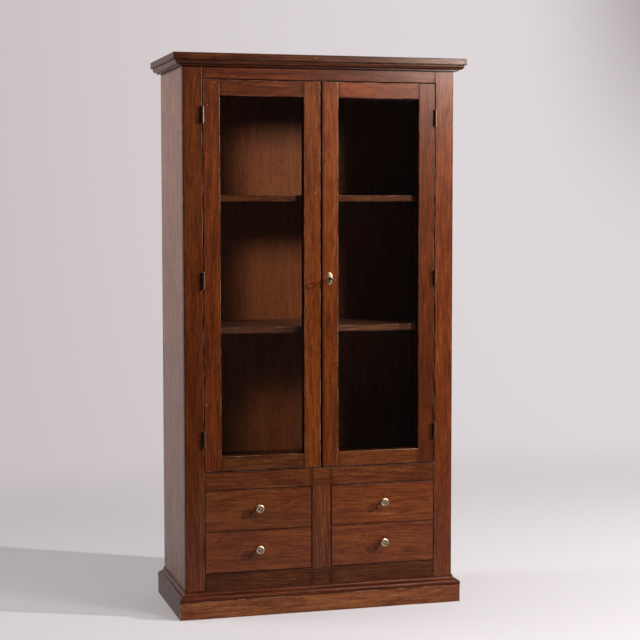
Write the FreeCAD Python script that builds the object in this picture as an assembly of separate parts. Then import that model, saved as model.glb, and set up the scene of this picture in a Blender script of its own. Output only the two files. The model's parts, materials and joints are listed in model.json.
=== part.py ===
import FreeCAD, Part
import os

# A display cabinet in stained hardwood: two glazed doors over a two by two bank of drawers,
# with a moulded cornice and a moulded plinth. Millimetres, +Z up, front towards -Y.
# The origin is on the floor, at the centre of the overall width and depth, the key included.
# Left and right are those of a person standing in front of the cabinet.

V = FreeCAD.Vector

# Carcass
body_width = 900.0
body_depth = 382.0
carcass_height = 1771.0
post_width = 62.0
panel_thickness = 20.0
back_panel_thickness = 8.0
back_panel_lap = 10.0
post_arris = 4.0
frame_arris = 1.5
fit_clearance = 0.2
overrun = 5.0
place_tolerance = 0.01

# Front frame, from the floor up
bottom_rail_foot = 57.0
bottom_rail_height = 82.0
drawer_opening_height = 270.0
middle_rail_height = 58.0
top_rail_height = 57.0

# Joints of the front frame
frame_tenon_length = 30.0
frame_tenon_thickness = 8.0
frame_tenon_shoulder = 9.0
divider_width = 64.0
divider_tenon_length = 20.0

# Cornice
cornice_board_thickness = 21.0
cornice_overhang = 34.0
cornice_arris = 2.5
cornice_moulding_width = 27.0
cornice_moulding_fillet = 3.0
cornice_ovolo_radius = 11.0
cornice_step_width = 13.0
cornice_step_height = 4.0

# Plinth
plinth_board_height = 57.0
plinth_board_thickness = 22.0
plinth_arris = 1.0
plinth_ledge_width = 3.0
plinth_ledge_height = 2.5
plinth_cove_radius = 9.5
plinth_quirk_height = 2.0
plinth_quirk_width = 1.0
plinth_ovolo_radius = 9.5
plinth_nose_height = 6.5
plinth_nose_chamfer = 1.5

# Doors
door_thickness = 22.0
door_stop_clearance = 0.5
door_hinge_gap = 2.5
door_end_gap = 2.5
door_meeting_gap = 5.0
stile_width = 54.5
door_top_rail_height = 50.0
door_bottom_rail_height = 47.0
door_arris = 1.5
door_tenon_length = 36.0
door_tenon_thickness = 7.0
door_tenon_inset = 5.0
glass_thickness = 4.0
glass_rebate_width = 9.0
glass_rebate_depth = 12.0
glass_edge_clearance = 1.5
bead_show = 3.5
bead_radius = 4.0

# Butt hinges, their pins and their screws
hinge_from_door_bottom = 105.5
hinge_from_door_top = 110.5
hinge_middle_share = 0.4915
hinge_length = 50.0
hinge_leaf_thickness = 1.6
hinge_leaf_depth = 17.0
hinge_knuckle_radius = 4.5
hinge_knuckle_stand_off = 5.0
hinge_knuckle_count = 5
hinge_knuckle_gap = 0.3
hinge_pin_radius = 2.2
hinge_pin_clearance = 0.05
hinge_pin_tip = 2.5
hinge_pin_cap_radius = 3.6
hinge_pin_cap_round = 1.5
hinge_screw_inset = 13.0
hinge_screw_depth = 10.5
screw_head_radius = 3.2
screw_shank_radius = 1.5
screw_length = 16.0
screw_clearance = 0.1

# Display space
floor_thickness = 18.0
floor_rise = 6.0
housing_depth = 6.0
housing_shoulder = 5.0
shelf_thickness = 20.0
lower_shelf_share = 0.366
upper_shelf_share = 0.7065
shelf_setback = 8.0
shelf_end_clearance = 1.0
shelf_back_clearance = 1.0
shelf_arris = 2.0
batten_width = 15.0
batten_height = 16.0
batten_setback = 26.0
stop_lap = 10.0
stop_height = 40.0
stop_thickness = 12.0

# Ball catches above the doors' meeting edges
catch_radius = 5.0
catch_length = 14.0
catch_ball_radius = 3.6
catch_ball_show = 1.9
catch_from_middle = 40.0

# Drawers and what carries them
drawer_gap = 2.0
drawer_front_thickness = 20.0
drawer_side_thickness = 12.0
drawer_side_drop = 32.0
drawer_back_clearance = 0.3
drawer_running_gap = 0.3
drawer_guide_clearance = 1.0
drawer_bottom_thickness = 6.0
drawer_bottom_height = 9.0
drawer_groove_depth = 6.0
drawer_arris = 1.5
partition_thickness = 20.0
runner_height = 14.0
runner_tip = 3.0
guide_height = 18.0

# Round drawer knobs
knob_foot_radius = 8.0
knob_foot_height = 2.0
knob_foot_round = 1.2
knob_neck_radius = 4.6
knob_neck_height = 13.0
knob_head_radius = 14.5
knob_head_height = 8.0
knob_rim_width = 3.2
knob_dish_depth = 1.6
knob_edge_radius = 2.4
knob_flare_radius = 2.8
knob_screw_radius = 2.0
knob_screw_grip = 9.0
knob_screw_head_radius = 4.5
knob_screw_head_height = 2.5
drawer_knob_share = 0.54

# Keyhole and escutcheon of the right door
keyhole_share = 0.4923
keyhole_from_edge = 24.5
keyhole_radius = 3.2
keyhole_slot_width = 3.4
keyhole_slot_drop = 12.0
plate_half_width = 11.0
plate_half_height = 21.0
plate_thickness = 2.2
plate_edge_radius = 1.4
plate_pin_inset = 4.5
plate_pin_radius = 0.9
plate_pin_length = 9.0
plate_pin_head_radius = 1.8
plate_pin_head_height = 1.0
plate_pin_head_round = 0.8

# Lock let into the back of the right door, with its bolt, and the keeper in the left door
lock_length = 42.0
lock_height = 44.0
lock_depth = 10.0
lock_wall = 1.2
lock_ear = 8.0
lock_screw_length = 12.0
bolt_thickness = 5.0
bolt_height = 12.0
bolt_rise = 6.0
bolt_from_back = 2.2
bolt_end_gap = 0.8
bolt_clearance = 0.15
bolt_notch_from_key = 6.4
bolt_notch_width = 7.0
bolt_notch_height = 4.5
keeper_width = 12.0
keeper_margin = 12.0
keeper_thickness = 1.2
keeper_slot_clearance = 0.6
keeper_mortise_depth = 10.0
keeper_screw_inset = 5.5

# Key, turned a little past level
key_stem_radius = 2.5
key_rest_turn = 30.0
key_bit_reach = 10.0
key_bit_thickness = 2.4
key_bit_side_gap = 0.5
key_collar_radius = 3.8
key_collar_height = 3.0
key_collar_from_face = 14.0
key_ring_from_face = 30.0
key_ring_radius = 11.0
key_ring_wire_radius = 1.7

# Places that follow from the sizes above
half_width = body_width / 2
front_reach = max(cornice_overhang, key_ring_from_face + key_ring_radius)
front = front_reach - (body_depth + front_reach) / 2
back = front + body_depth
inner_half = half_width - panel_thickness
opening_half = half_width - post_width
frame_thickness = door_thickness + door_stop_clearance
behind_frame = front + frame_thickness
back_panel_face = back - back_panel_thickness
drawer_opening_bottom = bottom_rail_foot + bottom_rail_height
drawer_opening_top = drawer_opening_bottom + drawer_opening_height
door_opening_bottom = drawer_opening_top + middle_rail_height
door_opening_top = carcass_height - top_rail_height
plinth_height = (plinth_board_height + plinth_nose_height + plinth_ovolo_radius + plinth_quirk_height
                 + plinth_cove_radius + plinth_ledge_height)
door_bottom = door_opening_bottom + door_end_gap
door_top = door_opening_top - door_end_gap
door_outer = opening_half - door_hinge_gap
door_inner = door_meeting_gap / 2
pane_bottom = door_bottom + door_bottom_rail_height
pane_top = door_top - door_top_rail_height
floor_top = door_opening_bottom + floor_rise
display_height = door_opening_top - floor_top
shelf_tops = [floor_top + lower_shelf_share * display_height,
              floor_top + upper_shelf_share * display_height]
hinge_x = opening_half - door_hinge_gap / 2
hinge_y = front - hinge_knuckle_stand_off
hinge_heights = [door_bottom + hinge_from_door_bottom,
                 door_bottom + hinge_middle_share * (door_top - door_bottom),
                 door_top - hinge_from_door_top]
door_back = front + door_thickness
keyhole_x = door_inner + keyhole_from_edge
keyhole_height = door_bottom + keyhole_share * (door_top - door_bottom)
bolt_back = door_back - bolt_from_back
bolt_front = bolt_back - bolt_thickness
bolt_low = keyhole_height + bolt_rise
bolt_high = bolt_low + bolt_height
drawer_height = (drawer_opening_height - 3 * drawer_gap) / 2
drawer_side_height = drawer_height - drawer_side_drop
drawer_levels = [drawer_opening_bottom + drawer_gap,
                 drawer_opening_bottom + 2 * drawer_gap + drawer_height]
drawer_outer = opening_half - drawer_gap
drawer_inner = divider_width / 2 + drawer_gap
drawer_centre = (drawer_outer + drawer_inner) / 2


def box(x0, x1, y0, y1, z0, z1):
    """A board given by its six faces."""
    return Part.makeBox(x1 - x0, y1 - y0, z1 - z0, V(x0, y0, z0))


def mirrored(shape):
    """The same piece on the cabinet's other side."""
    return shape.mirror(V(0, 0, 0), V(1, 0, 0))


def edges_on(shape, **planes):
    """The edges that lie in every named plane, such as y=front."""
    found = []
    for edge in shape.Edges:
        points = [vertex.Point for vertex in edge.Vertexes]
        if all(abs(getattr(point, axis) - place) < place_tolerance
               for point in points for axis, place in planes.items()):
            found.append(edge)
    return found


def eased(shape, radius, *places):
    """The board with the edges in each pair of planes rounded."""
    edges = []
    for planes in places:
        edges += edges_on(shape, **planes)
    return shape.makeFillet(radius, edges)


def outline_face(points, arcs, normal_axis):
    """A face in a vertical plane. Points are (out, up); arcs maps a point's index to the middle point of
    the arc that leads from it to the next point."""
    def place(point):
        if normal_axis == "x":
            return V(0, -point[0], point[1])
        return V(-point[0], 0, point[1])
    edges = []
    for index, point in enumerate(points):
        following = points[(index + 1) % len(points)]
        if index in arcs:
            edges.append(Part.Arc(place(point), place(arcs[index]), place(following)).toShape())
        else:
            edges.append(Part.makeLine(place(point), place(following)))
    return Part.Face(Part.Wire(edges))


def plan_prism(points, low, high):
    """An upright prism over a plan outline."""
    corners = [V(x, y, low) for x, y in points]
    return Part.Face(Part.makePolygon(corners + corners[:1])).extrude(V(0, 0, high - low))


def mitred_strips(points, arcs, width):
    """The front, left and right strips of a moulding that goes round the carcass, mitred at the corners."""
    reach = width + overrun
    low = min(point[1] for point in points) - overrun
    high = max(point[1] for point in points) + overrun
    run = outline_face(points, arcs, "x").extrude(V(2 * (half_width + reach), 0, 0))
    run.translate(V(-half_width - reach, front, 0))
    front_plan = [(-half_width, front), (half_width, front),
                  (half_width + reach, front - reach), (-half_width - reach, front - reach)]
    front_strip = run.common(plan_prism(front_plan, low, high))
    side = outline_face(points, arcs, "y").extrude(V(0, body_depth + reach, 0))
    side.translate(V(-half_width, front - reach, 0))
    side_plan = [(-half_width, front), (-half_width - reach, front - reach),
                 (-half_width - reach, back), (-half_width, back)]
    left_strip = side.common(plan_prism(side_plan, low, high))
    return front_strip.Solids[0], left_strip.Solids[0], mirrored(left_strip.Solids[0])


def quarter_middle(centre, radius, side_x, side_z):
    """The middle point of a quarter circle round a centre, on the named sides of it."""
    step = radius * 0.5 ** 0.5
    return centre[0] + side_x * step, centre[1] + side_z * step


# The frame's tenons and mortises

def tenon_box(x0, x1, z0, z1, thickness, board_thickness, grow):
    """A tenon in the middle of a board's thickness, or its mortise when it grows by a clearance."""
    middle = front + board_thickness / 2
    return box(x0, x1, middle - thickness / 2 - grow, middle + thickness / 2 + grow, z0 - grow, z1 + grow)


def rail_tenon_heights(low, high):
    return low + frame_tenon_shoulder, high - frame_tenon_shoulder


def frame_rail(low, high):
    """A rail of the front frame between the posts, with a tenon at each end."""
    rail = box(-opening_half, opening_half, front, behind_frame, low, high)
    rail = eased(rail, frame_arris, {"y": front, "z": low}, {"y": front, "z": high})
    z0, z1 = rail_tenon_heights(low, high)
    reach = opening_half + frame_tenon_length
    tenons = tenon_box(-reach, reach, z0, z1, frame_tenon_thickness, frame_thickness, 0)
    return rail.fuse(tenons).removeSplitter()


frame_rails = {
    "top_rail": (door_opening_top, carcass_height),
    "middle_rail": (drawer_opening_top, door_opening_bottom),
    "bottom_rail": (bottom_rail_foot, drawer_opening_bottom),
}


def divider_tenon(grow):
    """The upright tenon at both ends of the divider post, in one piece through the opening's height."""
    middle = front + frame_thickness / 2
    half = divider_width / 2 - frame_tenon_shoulder + grow
    low = drawer_opening_bottom - divider_tenon_length - grow
    high = drawer_opening_top + divider_tenon_length + grow
    thickness = frame_tenon_thickness / 2 + grow
    return box(-half, half, middle - thickness, middle + thickness, low, high)


def make_front_rails():
    rails = {}
    for name, (low, high) in frame_rails.items():
        rails[name] = frame_rail(low, high)
    for name in ("middle_rail", "bottom_rail"):
        rails[name] = rails[name].cut(divider_tenon(fit_clearance))
    for side in (-1, 1):
        rails["top_rail"] = rails["top_rail"].cut(catch_shape(side * catch_from_middle, screw_clearance))
    return rails


def make_divider():
    half = divider_width / 2
    post = box(-half, half, front, behind_frame, drawer_opening_bottom, drawer_opening_top)
    post = eased(post, frame_arris, {"x": -half, "y": front}, {"x": half, "y": front})
    return post.fuse(divider_tenon(0)).removeSplitter()


# Hinges. Each is made for the left door and mirrored for the right one.

def knuckle_spans(height):
    """The height spans of the knuckles, from the bottom one up."""
    bottom = height - hinge_length / 2
    pitch = hinge_length / hinge_knuckle_count
    return [(bottom + index * pitch, bottom + (index + 1) * pitch) for index in range(hinge_knuckle_count)]


def leaf_recess(height, edge, side, grow):
    """The shallow recess that lets a leaf into a board's edge. side is -1 for the post, 1 for the door."""
    inner = edge + side * (hinge_leaf_thickness + grow)
    return box(min(edge, inner), max(edge, inner), front - grow, front + hinge_leaf_depth + grow,
               height - hinge_length / 2 - grow, height + hinge_length / 2 + grow)


def wood_screw(start, direction, plate, length, grow):
    """A countersunk screw through a plate, or its hole when it grows by a clearance."""
    head = Part.makeCone(screw_head_radius + grow, screw_shank_radius + grow, plate, start, direction)
    shank = Part.makeCylinder(screw_shank_radius + grow, length + grow, start, direction)
    return head.fuse(shank).removeSplitter()


def hinge_screws(height, edge, side, grow):
    """The two screws of one leaf, or their holes."""
    return [wood_screw(V(edge, front + hinge_screw_depth, height + offset), V(side, 0, 0),
                       hinge_leaf_thickness, screw_length, grow)
            for offset in (-hinge_screw_inset, hinge_screw_inset)]


def hinge_leaf(height, edge, side, knuckles):
    """One leaf with its own knuckles round the pin. knuckles are the indexes of its knuckles."""
    plate = leaf_recess(height, edge, side, 0)
    spans = knuckle_spans(height)
    for index in knuckles:
        low, high = spans[index]
        low += hinge_knuckle_gap / 2 if index > 0 else 0
        high -= hinge_knuckle_gap / 2 if index < hinge_knuckle_count - 1 else 0
        inner = edge + side * hinge_leaf_thickness
        tab = box(min(edge, inner), max(edge, inner), hinge_y, front, low, high)
        barrel = Part.makeCylinder(hinge_knuckle_radius, high - low, V(-hinge_x, hinge_y, low))
        plate = plate.fuse(tab).fuse(barrel)
    bore = Part.makeCylinder(hinge_pin_radius + hinge_pin_clearance, hinge_length + 2 * overrun,
                             V(-hinge_x, hinge_y, height - hinge_length / 2 - overrun))
    leaf = plate.removeSplitter().cut(bore)
    for hole in hinge_screws(height, edge, side, screw_clearance):
        leaf = leaf.cut(hole)
    return leaf


def hinge_pin(height):
    """The pin, with a small domed tip below and above the knuckles."""
    shank = Part.makeCylinder(hinge_pin_radius, hinge_length, V(-hinge_x, hinge_y, height - hinge_length / 2))
    pin = shank
    for end, direction in ((height - hinge_length / 2, -1), (height + hinge_length / 2, 1)):
        cap = Part.makeCylinder(hinge_pin_cap_radius, hinge_pin_tip, V(-hinge_x, hinge_y, end),
                                V(0, 0, direction))
        cap = cap.makeFillet(hinge_pin_cap_round, edges_on(cap, z=end + direction * hinge_pin_tip))
        pin = pin.fuse(cap)
    return pin.removeSplitter()


def make_hinges():
    """All the hinges' pieces, those of the left door first."""
    post_knuckles = range(0, hinge_knuckle_count, 2)
    door_knuckles = range(1, hinge_knuckle_count, 2)
    post_side, door_side, pins = [], [], []
    for height in hinge_heights:
        post_side.append(hinge_leaf(height, -opening_half, -1, post_knuckles))
        post_side += hinge_screws(height, -opening_half, -1, 0)
        door_side.append(hinge_leaf(height, -door_outer, 1, door_knuckles))
        door_side += hinge_screws(height, -door_outer, 1, 0)
        pins.append(hinge_pin(height))
    return {
        "post_hinge_leaves": Part.makeCompound(post_side + [mirrored(piece) for piece in post_side]),
        "hinge_pins": Part.makeCompound(pins + [mirrored(piece) for piece in pins]),
        "left_door_hinge_leaves": Part.makeCompound(door_side),
        "right_door_hinge_leaves": Part.makeCompound([mirrored(piece) for piece in door_side]),
    }


def cut_for_hinges(board, edge, side):
    """Lets the leaves and screws of one side into a board's edge."""
    for height in hinge_heights:
        board = board.cut(leaf_recess(height, edge, side, 0))
        for hole in hinge_screws(height, edge, side, screw_clearance):
            board = board.cut(hole)
    return board


# Carcass

def make_post():
    """The left front post, from the floor to the cornice."""
    post = box(-half_width, -opening_half, front, behind_frame, 0, carcass_height)
    post = eased(post, post_arris, {"x": -half_width, "y": front})
    post = eased(post, frame_arris, {"x": -opening_half, "y": front})
    for low, high in frame_rails.values():
        z0, z1 = rail_tenon_heights(low, high)
        reach = -opening_half - frame_tenon_length - fit_clearance
        post = post.cut(tenon_box(reach, -opening_half, z0, z1, frame_tenon_thickness, frame_thickness,
                                  fit_clearance))
    return cut_for_hinges(post, -opening_half, -1)


def make_side_panel():
    """The left side, one board from behind the post to the back, rebated for the back panel."""
    panel = box(-half_width, -inner_half, behind_frame, back, 0, carcass_height)
    panel = eased(panel, frame_arris, {"x": -half_width, "y": back})
    rebate = box(-inner_half - back_panel_lap - fit_clearance, -inner_half + overrun,
                 back_panel_face - fit_clearance, back + overrun,
                 bottom_rail_foot - fit_clearance, carcass_height + overrun)
    housing = box(-inner_half - housing_depth - fit_clearance, -inner_half + overrun,
                  behind_frame - overrun, back_panel_face, floor_top - floor_thickness,
                  floor_top - housing_shoulder)
    return panel.cut(rebate).cut(housing)


def make_back_panel():
    reach = inner_half + back_panel_lap
    return box(-reach, reach, back_panel_face, back, bottom_rail_foot, carcass_height)


def make_display_floor():
    """The floor of the glazed space, on tongues let into the side panels. Its front edge stands above the
    middle rail and stops the doors."""
    low = floor_top - floor_thickness
    floor = box(-inner_half, inner_half, behind_frame, back_panel_face, low, floor_top)
    floor = eased(floor, frame_arris, {"y": behind_frame, "z": floor_top})
    reach = inner_half + housing_depth
    tongues = box(-reach, reach, behind_frame, back_panel_face, low, floor_top - housing_shoulder)
    return floor.fuse(tongues).removeSplitter()


def make_shelf(top):
    reach = inner_half - shelf_end_clearance
    low = top - shelf_thickness
    shelf_front = behind_frame + shelf_setback
    shelf = box(-reach, reach, shelf_front, back_panel_face - shelf_back_clearance, low, top)
    return eased(shelf, shelf_arris, {"y": shelf_front, "z": top}, {"y": shelf_front, "z": low})


def make_shelf_battens():
    """Four battens on the side panels that carry the two shelves."""
    battens = []
    for top in shelf_tops:
        high = top - shelf_thickness
        batten = box(-inner_half, -inner_half + batten_width, behind_frame + batten_setback,
                     back_panel_face, high - batten_height, high)
        battens += [batten, mirrored(batten)]
    return Part.makeCompound(battens)


def make_door_stop():
    """The strip behind the top rail that the doors close against."""
    low = door_top - stop_lap
    return box(-inner_half, inner_half, behind_frame, behind_frame + stop_thickness, low, low + stop_height)


def catch_shape(x, grow):
    """A ball catch: a barrel let up into the top rail, with its ball just below. It grows into its bore."""
    middle = front + frame_thickness / 2
    barrel = Part.makeCylinder(catch_radius + grow, catch_length + grow, V(x, middle, door_opening_top))
    ball_height = door_opening_top + catch_ball_radius - catch_ball_show
    ball = Part.makeSphere(catch_ball_radius, V(x, middle, ball_height))
    return barrel.fuse(ball).removeSplitter()


def make_ball_catches():
    return Part.makeCompound([catch_shape(side * catch_from_middle, 0) for side in (-1, 1)])


def make_centre_partition():
    """The board behind the divider post, between the left and the right drawers."""
    half = partition_thickness / 2
    return box(-half, half, behind_frame, back_panel_face, bottom_rail_foot, floor_top - floor_thickness)


def runner(wall, guide, tip, top):
    """One drawer runner with its guide: wall is what it is fixed to, guide faces the drawer's side and
    tip is the runner's free edge under that side."""
    base = box(min(wall, tip), max(wall, tip), behind_frame, back_panel_face, top - runner_height, top)
    rail = box(min(wall, guide), max(wall, guide), behind_frame, back_panel_face, top - runner_height,
               top + guide_height)
    return base.fuse(rail).removeSplitter()


def make_drawer_runners():
    outer_guide = drawer_outer + drawer_guide_clearance
    inner_guide = drawer_inner - drawer_guide_clearance
    outer_tip = drawer_outer - drawer_side_thickness - runner_tip
    inner_tip = drawer_inner + drawer_side_thickness + runner_tip
    runners = []
    for level in drawer_levels:
        top = level - drawer_running_gap
        outer = runner(-inner_half, -outer_guide, -outer_tip, top)
        inner = runner(-partition_thickness / 2, -inner_guide, -inner_tip, top)
        runners += [outer, inner, mirrored(outer), mirrored(inner)]
    return Part.makeCompound(runners)


# Cornice and plinth

def make_cornice_board():
    reach = half_width + cornice_overhang
    high = carcass_height + cornice_board_thickness
    board = box(-reach, reach, front - cornice_overhang, back, carcass_height, high)
    places = []
    for z in (carcass_height, high):
        places += [{"y": front - cornice_overhang, "z": z}, {"x": -reach, "z": z}, {"x": reach, "z": z}]
    places += [{"x": -reach, "y": front - cornice_overhang}, {"x": reach, "y": front - cornice_overhang}]
    return eased(board, cornice_arris, *places)


def make_cornice_mouldings():
    """An ovolo moulding under the cornice board's overhang."""
    top = carcass_height
    round_top = top - cornice_moulding_fillet
    round_end = round_top - cornice_ovolo_radius
    low = round_end - cornice_step_height
    centre = (cornice_moulding_width - cornice_ovolo_radius, round_top)
    points = [(0, top), (cornice_moulding_width, top), (cornice_moulding_width, round_top),
              (centre[0], round_end), (cornice_step_width, round_end), (cornice_step_width, low), (0, low)]
    arcs = {2: quarter_middle(centre, cornice_ovolo_radius, 1, -1)}
    return mitred_strips(points, arcs, cornice_moulding_width)


def make_plinth_boards():
    """Three flat boards round the foot, mitred at the front corners."""
    points = [(0, 0), (plinth_board_thickness, 0),
              (plinth_board_thickness, plinth_board_height - plinth_arris),
              (plinth_board_thickness - plinth_arris, plinth_board_height), (0, plinth_board_height)]
    return mitred_strips(points, {}, plinth_board_thickness)


def make_plinth_mouldings():
    """A cove over an ovolo, on top of the plinth boards."""
    top = plinth_height
    cove_top = top - plinth_ledge_height
    cove_end = cove_top - plinth_cove_radius
    round_top = cove_end - plinth_quirk_height
    round_end = round_top - plinth_ovolo_radius
    cove_out = plinth_ledge_width + plinth_cove_radius
    round_start = cove_out + plinth_quirk_width
    nose = round_start + plinth_ovolo_radius
    points = [(0, top), (plinth_ledge_width, top), (plinth_ledge_width, cove_top), (cove_out, cove_end),
              (cove_out, round_top), (round_start, round_top), (nose, round_end),
              (nose, plinth_board_height + plinth_nose_chamfer),
              (nose - plinth_nose_chamfer, plinth_board_height), (0, plinth_board_height)]
    arcs = {2: quarter_middle((cove_out, cove_top), plinth_cove_radius, -1, -1),
            5: quarter_middle((round_start, round_end), plinth_ovolo_radius, 1, 1)}
    return mitred_strips(points, arcs, nose)


# Doors, made for the left side

def door_stile(x0, x1, inner_edge):
    """A stile over the door's full height, with a stopped rebate for the glass along its inner edge."""
    stile = box(x0, x1, front, front + door_thickness, door_bottom, door_top)
    stile = eased(stile, door_arris, {"x": x0, "y": front}, {"x": x1, "y": front},
                  {"y": front, "z": door_bottom}, {"y": front, "z": door_top})
    side = 1 if inner_edge == x1 else -1
    rebate_end = inner_edge - side * glass_rebate_width
    rebate = box(min(rebate_end, inner_edge + side * overrun), max(rebate_end, inner_edge + side * overrun),
                 front + door_thickness - glass_rebate_depth, front + door_thickness + overrun,
                 pane_bottom - glass_rebate_width, pane_top + glass_rebate_width)
    stile = stile.cut(rebate)
    for z0, z1 in door_tenon_heights():
        end = inner_edge - side * (door_tenon_length + fit_clearance)
        stile = stile.cut(tenon_box(min(end, inner_edge), max(end, inner_edge), z0, z1, door_tenon_thickness,
                                    door_thickness, fit_clearance))
    return stile


def door_tenon_heights():
    """The height spans of the bottom and the top rail's tenons, clear of the glass rebate."""
    bottom = (door_bottom + door_tenon_inset, pane_bottom - glass_rebate_width - door_tenon_inset)
    top = (pane_top + glass_rebate_width + door_tenon_inset, door_top - door_tenon_inset)
    return [bottom, top]


def door_rail(low, high, glass_edge, tenon):
    """A door rail between the stiles, rebated along the edge that meets the glass."""
    x0 = -door_outer + stile_width
    x1 = -door_inner - stile_width
    rail = box(x0, x1, front, front + door_thickness, low, high)
    rail = eased(rail, door_arris, {"y": front, "z": low}, {"y": front, "z": high})
    side = 1 if glass_edge == high else -1
    rebate_end = glass_edge - side * glass_rebate_width
    rebate = box(x0 - overrun, x1 + overrun,
                 front + door_thickness - glass_rebate_depth, front + door_thickness + overrun,
                 min(rebate_end, glass_edge + side * overrun), max(rebate_end, glass_edge + side * overrun))
    bar = tenon_box(x0 - door_tenon_length, x1 + door_tenon_length, tenon[0], tenon[1], door_tenon_thickness,
                    door_thickness, 0)
    return rail.cut(rebate).fuse(bar).removeSplitter()


def pane_spans(reach):
    """The glass opening's width and height, grown by a reach into the rebate."""
    return (-door_outer + stile_width - reach, -door_inner - stile_width + reach,
            pane_bottom - reach, pane_top + reach)


def make_glass():
    x0, x1, z0, z1 = pane_spans(glass_rebate_width - glass_edge_clearance)
    glass_front = front + door_thickness - glass_rebate_depth
    return box(x0, x1, glass_front, glass_front + glass_thickness, z0, z1)


def make_glazing_beads():
    """Four rounded beads that hold the glass from behind, the upright ones over the full height."""
    x0, x1, z0, z1 = pane_spans(glass_rebate_width - fit_clearance)
    wide = glass_rebate_width + bead_show - fit_clearance
    y0 = front + door_thickness - glass_rebate_depth + glass_thickness
    y1 = front + door_thickness
    left = eased(box(x0, x0 + wide, y0, y1, z0, z1), bead_radius, {"x": x0 + wide, "y": y1})
    right = eased(box(x1 - wide, x1, y0, y1, z0, z1), bead_radius, {"x": x1 - wide, "y": y1})
    across = (x0 + wide, x1 - wide, y0, y1)
    low = eased(box(*across, z0, z0 + wide), bead_radius, {"y": y1, "z": z0 + wide})
    high = eased(box(*across, z1 - wide, z1), bead_radius, {"y": y1, "z": z1 - wide})
    return Part.makeCompound([left, right, low, high])


def make_door():
    """The left door's wooden pieces, glass and beads."""
    hinge_stile = door_stile(-door_outer, -door_outer + stile_width, -door_outer + stile_width)
    meeting_stile = door_stile(-door_inner - stile_width, -door_inner, -door_inner - stile_width)
    bottom_tenon, top_tenon = door_tenon_heights()
    return {
        "hinge_stile": cut_for_hinges(hinge_stile, -door_outer, 1),
        "meeting_stile": meeting_stile,
        "top_rail": door_rail(pane_top, door_top, pane_top, top_tenon),
        "bottom_rail": door_rail(door_bottom, pane_bottom, pane_bottom, bottom_tenon),
        "glass": make_glass(),
        "glazing_beads": make_glazing_beads(),
    }


# Knobs

def knob_screw(x, z, board_thickness, grow):
    """The screw that holds a knob from behind its board, or its hole when it grows by a clearance."""
    start = V(x, front + board_thickness, z)
    shank = Part.makeCylinder(knob_screw_radius + grow, board_thickness + knob_screw_grip + grow, start,
                              V(0, -1, 0))
    head = Part.makeCylinder(knob_screw_head_radius, knob_screw_head_height, start, V(0, 1, 0))
    return shank.fuse(head).removeSplitter()


def round_knob(x, z, board_thickness):
    """A turned knob: foot, neck, and a head with a raised rim round a shallow dish. Its screw is a solid of
    its own."""
    start, outwards = V(x, front, z), V(0, -1, 0)
    base = front - knob_foot_height - knob_neck_height
    face = base - knob_head_height
    foot = Part.makeCylinder(knob_foot_radius, knob_foot_height, start, outwards)
    foot = foot.makeFillet(knob_foot_round, edges_on(foot, y=front - knob_foot_height))
    neck = Part.makeCylinder(knob_neck_radius, knob_foot_height + knob_neck_height, start, outwards)
    head = Part.makeCylinder(knob_head_radius, knob_head_height, V(x, base, z), outwards)
    head = head.makeFillet(knob_edge_radius, edges_on(head, y=face))
    head = head.makeFillet(knob_flare_radius, edges_on(head, y=base))
    dish = Part.makeCone(knob_head_radius - knob_rim_width - knob_dish_depth,
                         knob_head_radius - knob_rim_width, knob_dish_depth,
                         V(x, face + knob_dish_depth, z), outwards)
    knob = foot.fuse(neck).fuse(head.cut(dish)).removeSplitter()
    knob = knob.cut(knob_screw(x, z, board_thickness, screw_clearance))
    return Part.makeCompound([knob.Solids[0], knob_screw(x, z, board_thickness, 0)])


# Escutcheon, lock, keeper and key

def keyhole(y0, y1):
    """The keyhole between two depths: a round hole with a slot below it."""
    hole = Part.makeCylinder(keyhole_radius, y1 - y0, V(keyhole_x, y0, keyhole_height), V(0, 1, 0))
    half = keyhole_slot_width / 2
    slot = box(keyhole_x - half, keyhole_x + half, y0, y1, keyhole_height - keyhole_slot_drop,
               keyhole_height)
    return hole.fuse(slot)


def plate_pins(grow):
    """The escutcheon's two round-headed pins, or their holes when they grow by a clearance."""
    pins = []
    face = front - plate_thickness
    for side in (-1, 1):
        start = V(keyhole_x, face, keyhole_height + side * (plate_half_height - plate_pin_inset))
        shank = Part.makeCylinder(plate_pin_radius + grow, plate_pin_length + grow, start, V(0, 1, 0))
        head = Part.makeCylinder(plate_pin_head_radius, plate_pin_head_height, start, V(0, -1, 0))
        head = head.makeFillet(plate_pin_head_round, edges_on(head, y=face - plate_pin_head_height))
        pins.append(shank.fuse(head).removeSplitter())
    return pins


def make_escutcheon():
    """An upright oval plate with a rounded front edge, and its pins."""
    face = front - plate_thickness
    outline = Part.Ellipse(V(0, 0, 0), plate_half_height, plate_half_width)
    plate = Part.Face(Part.Wire([outline.toShape()])).extrude(V(0, 0, plate_thickness))
    plate.rotate(V(0, 0, 0), V(0, 0, 1), 90)
    plate.rotate(V(0, 0, 0), V(1, 0, 0), 90)
    plate.translate(V(keyhole_x, front, keyhole_height))
    plate = plate.makeFillet(plate_edge_radius, edges_on(plate, y=face))
    plate = plate.cut(keyhole(face - overrun, front + overrun))
    for hole in plate_pins(screw_clearance):
        plate = plate.cut(hole)
    return Part.makeCompound([plate.Solids[0]] + plate_pins(0))


def lock_body():
    """The lock case's outer block, flush with the back of the door and with its meeting edge."""
    half = lock_height / 2
    return box(door_inner, door_inner + lock_length, door_back - lock_depth, door_back,
               keyhole_height - half, keyhole_height + half)


def lock_back_plate():
    """The case's back plate, which reaches past it above and below for the screws."""
    half = lock_height / 2 + lock_ear
    return box(door_inner, door_inner + lock_length, door_back - lock_wall, door_back,
               keyhole_height - half, keyhole_height + half)


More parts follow.
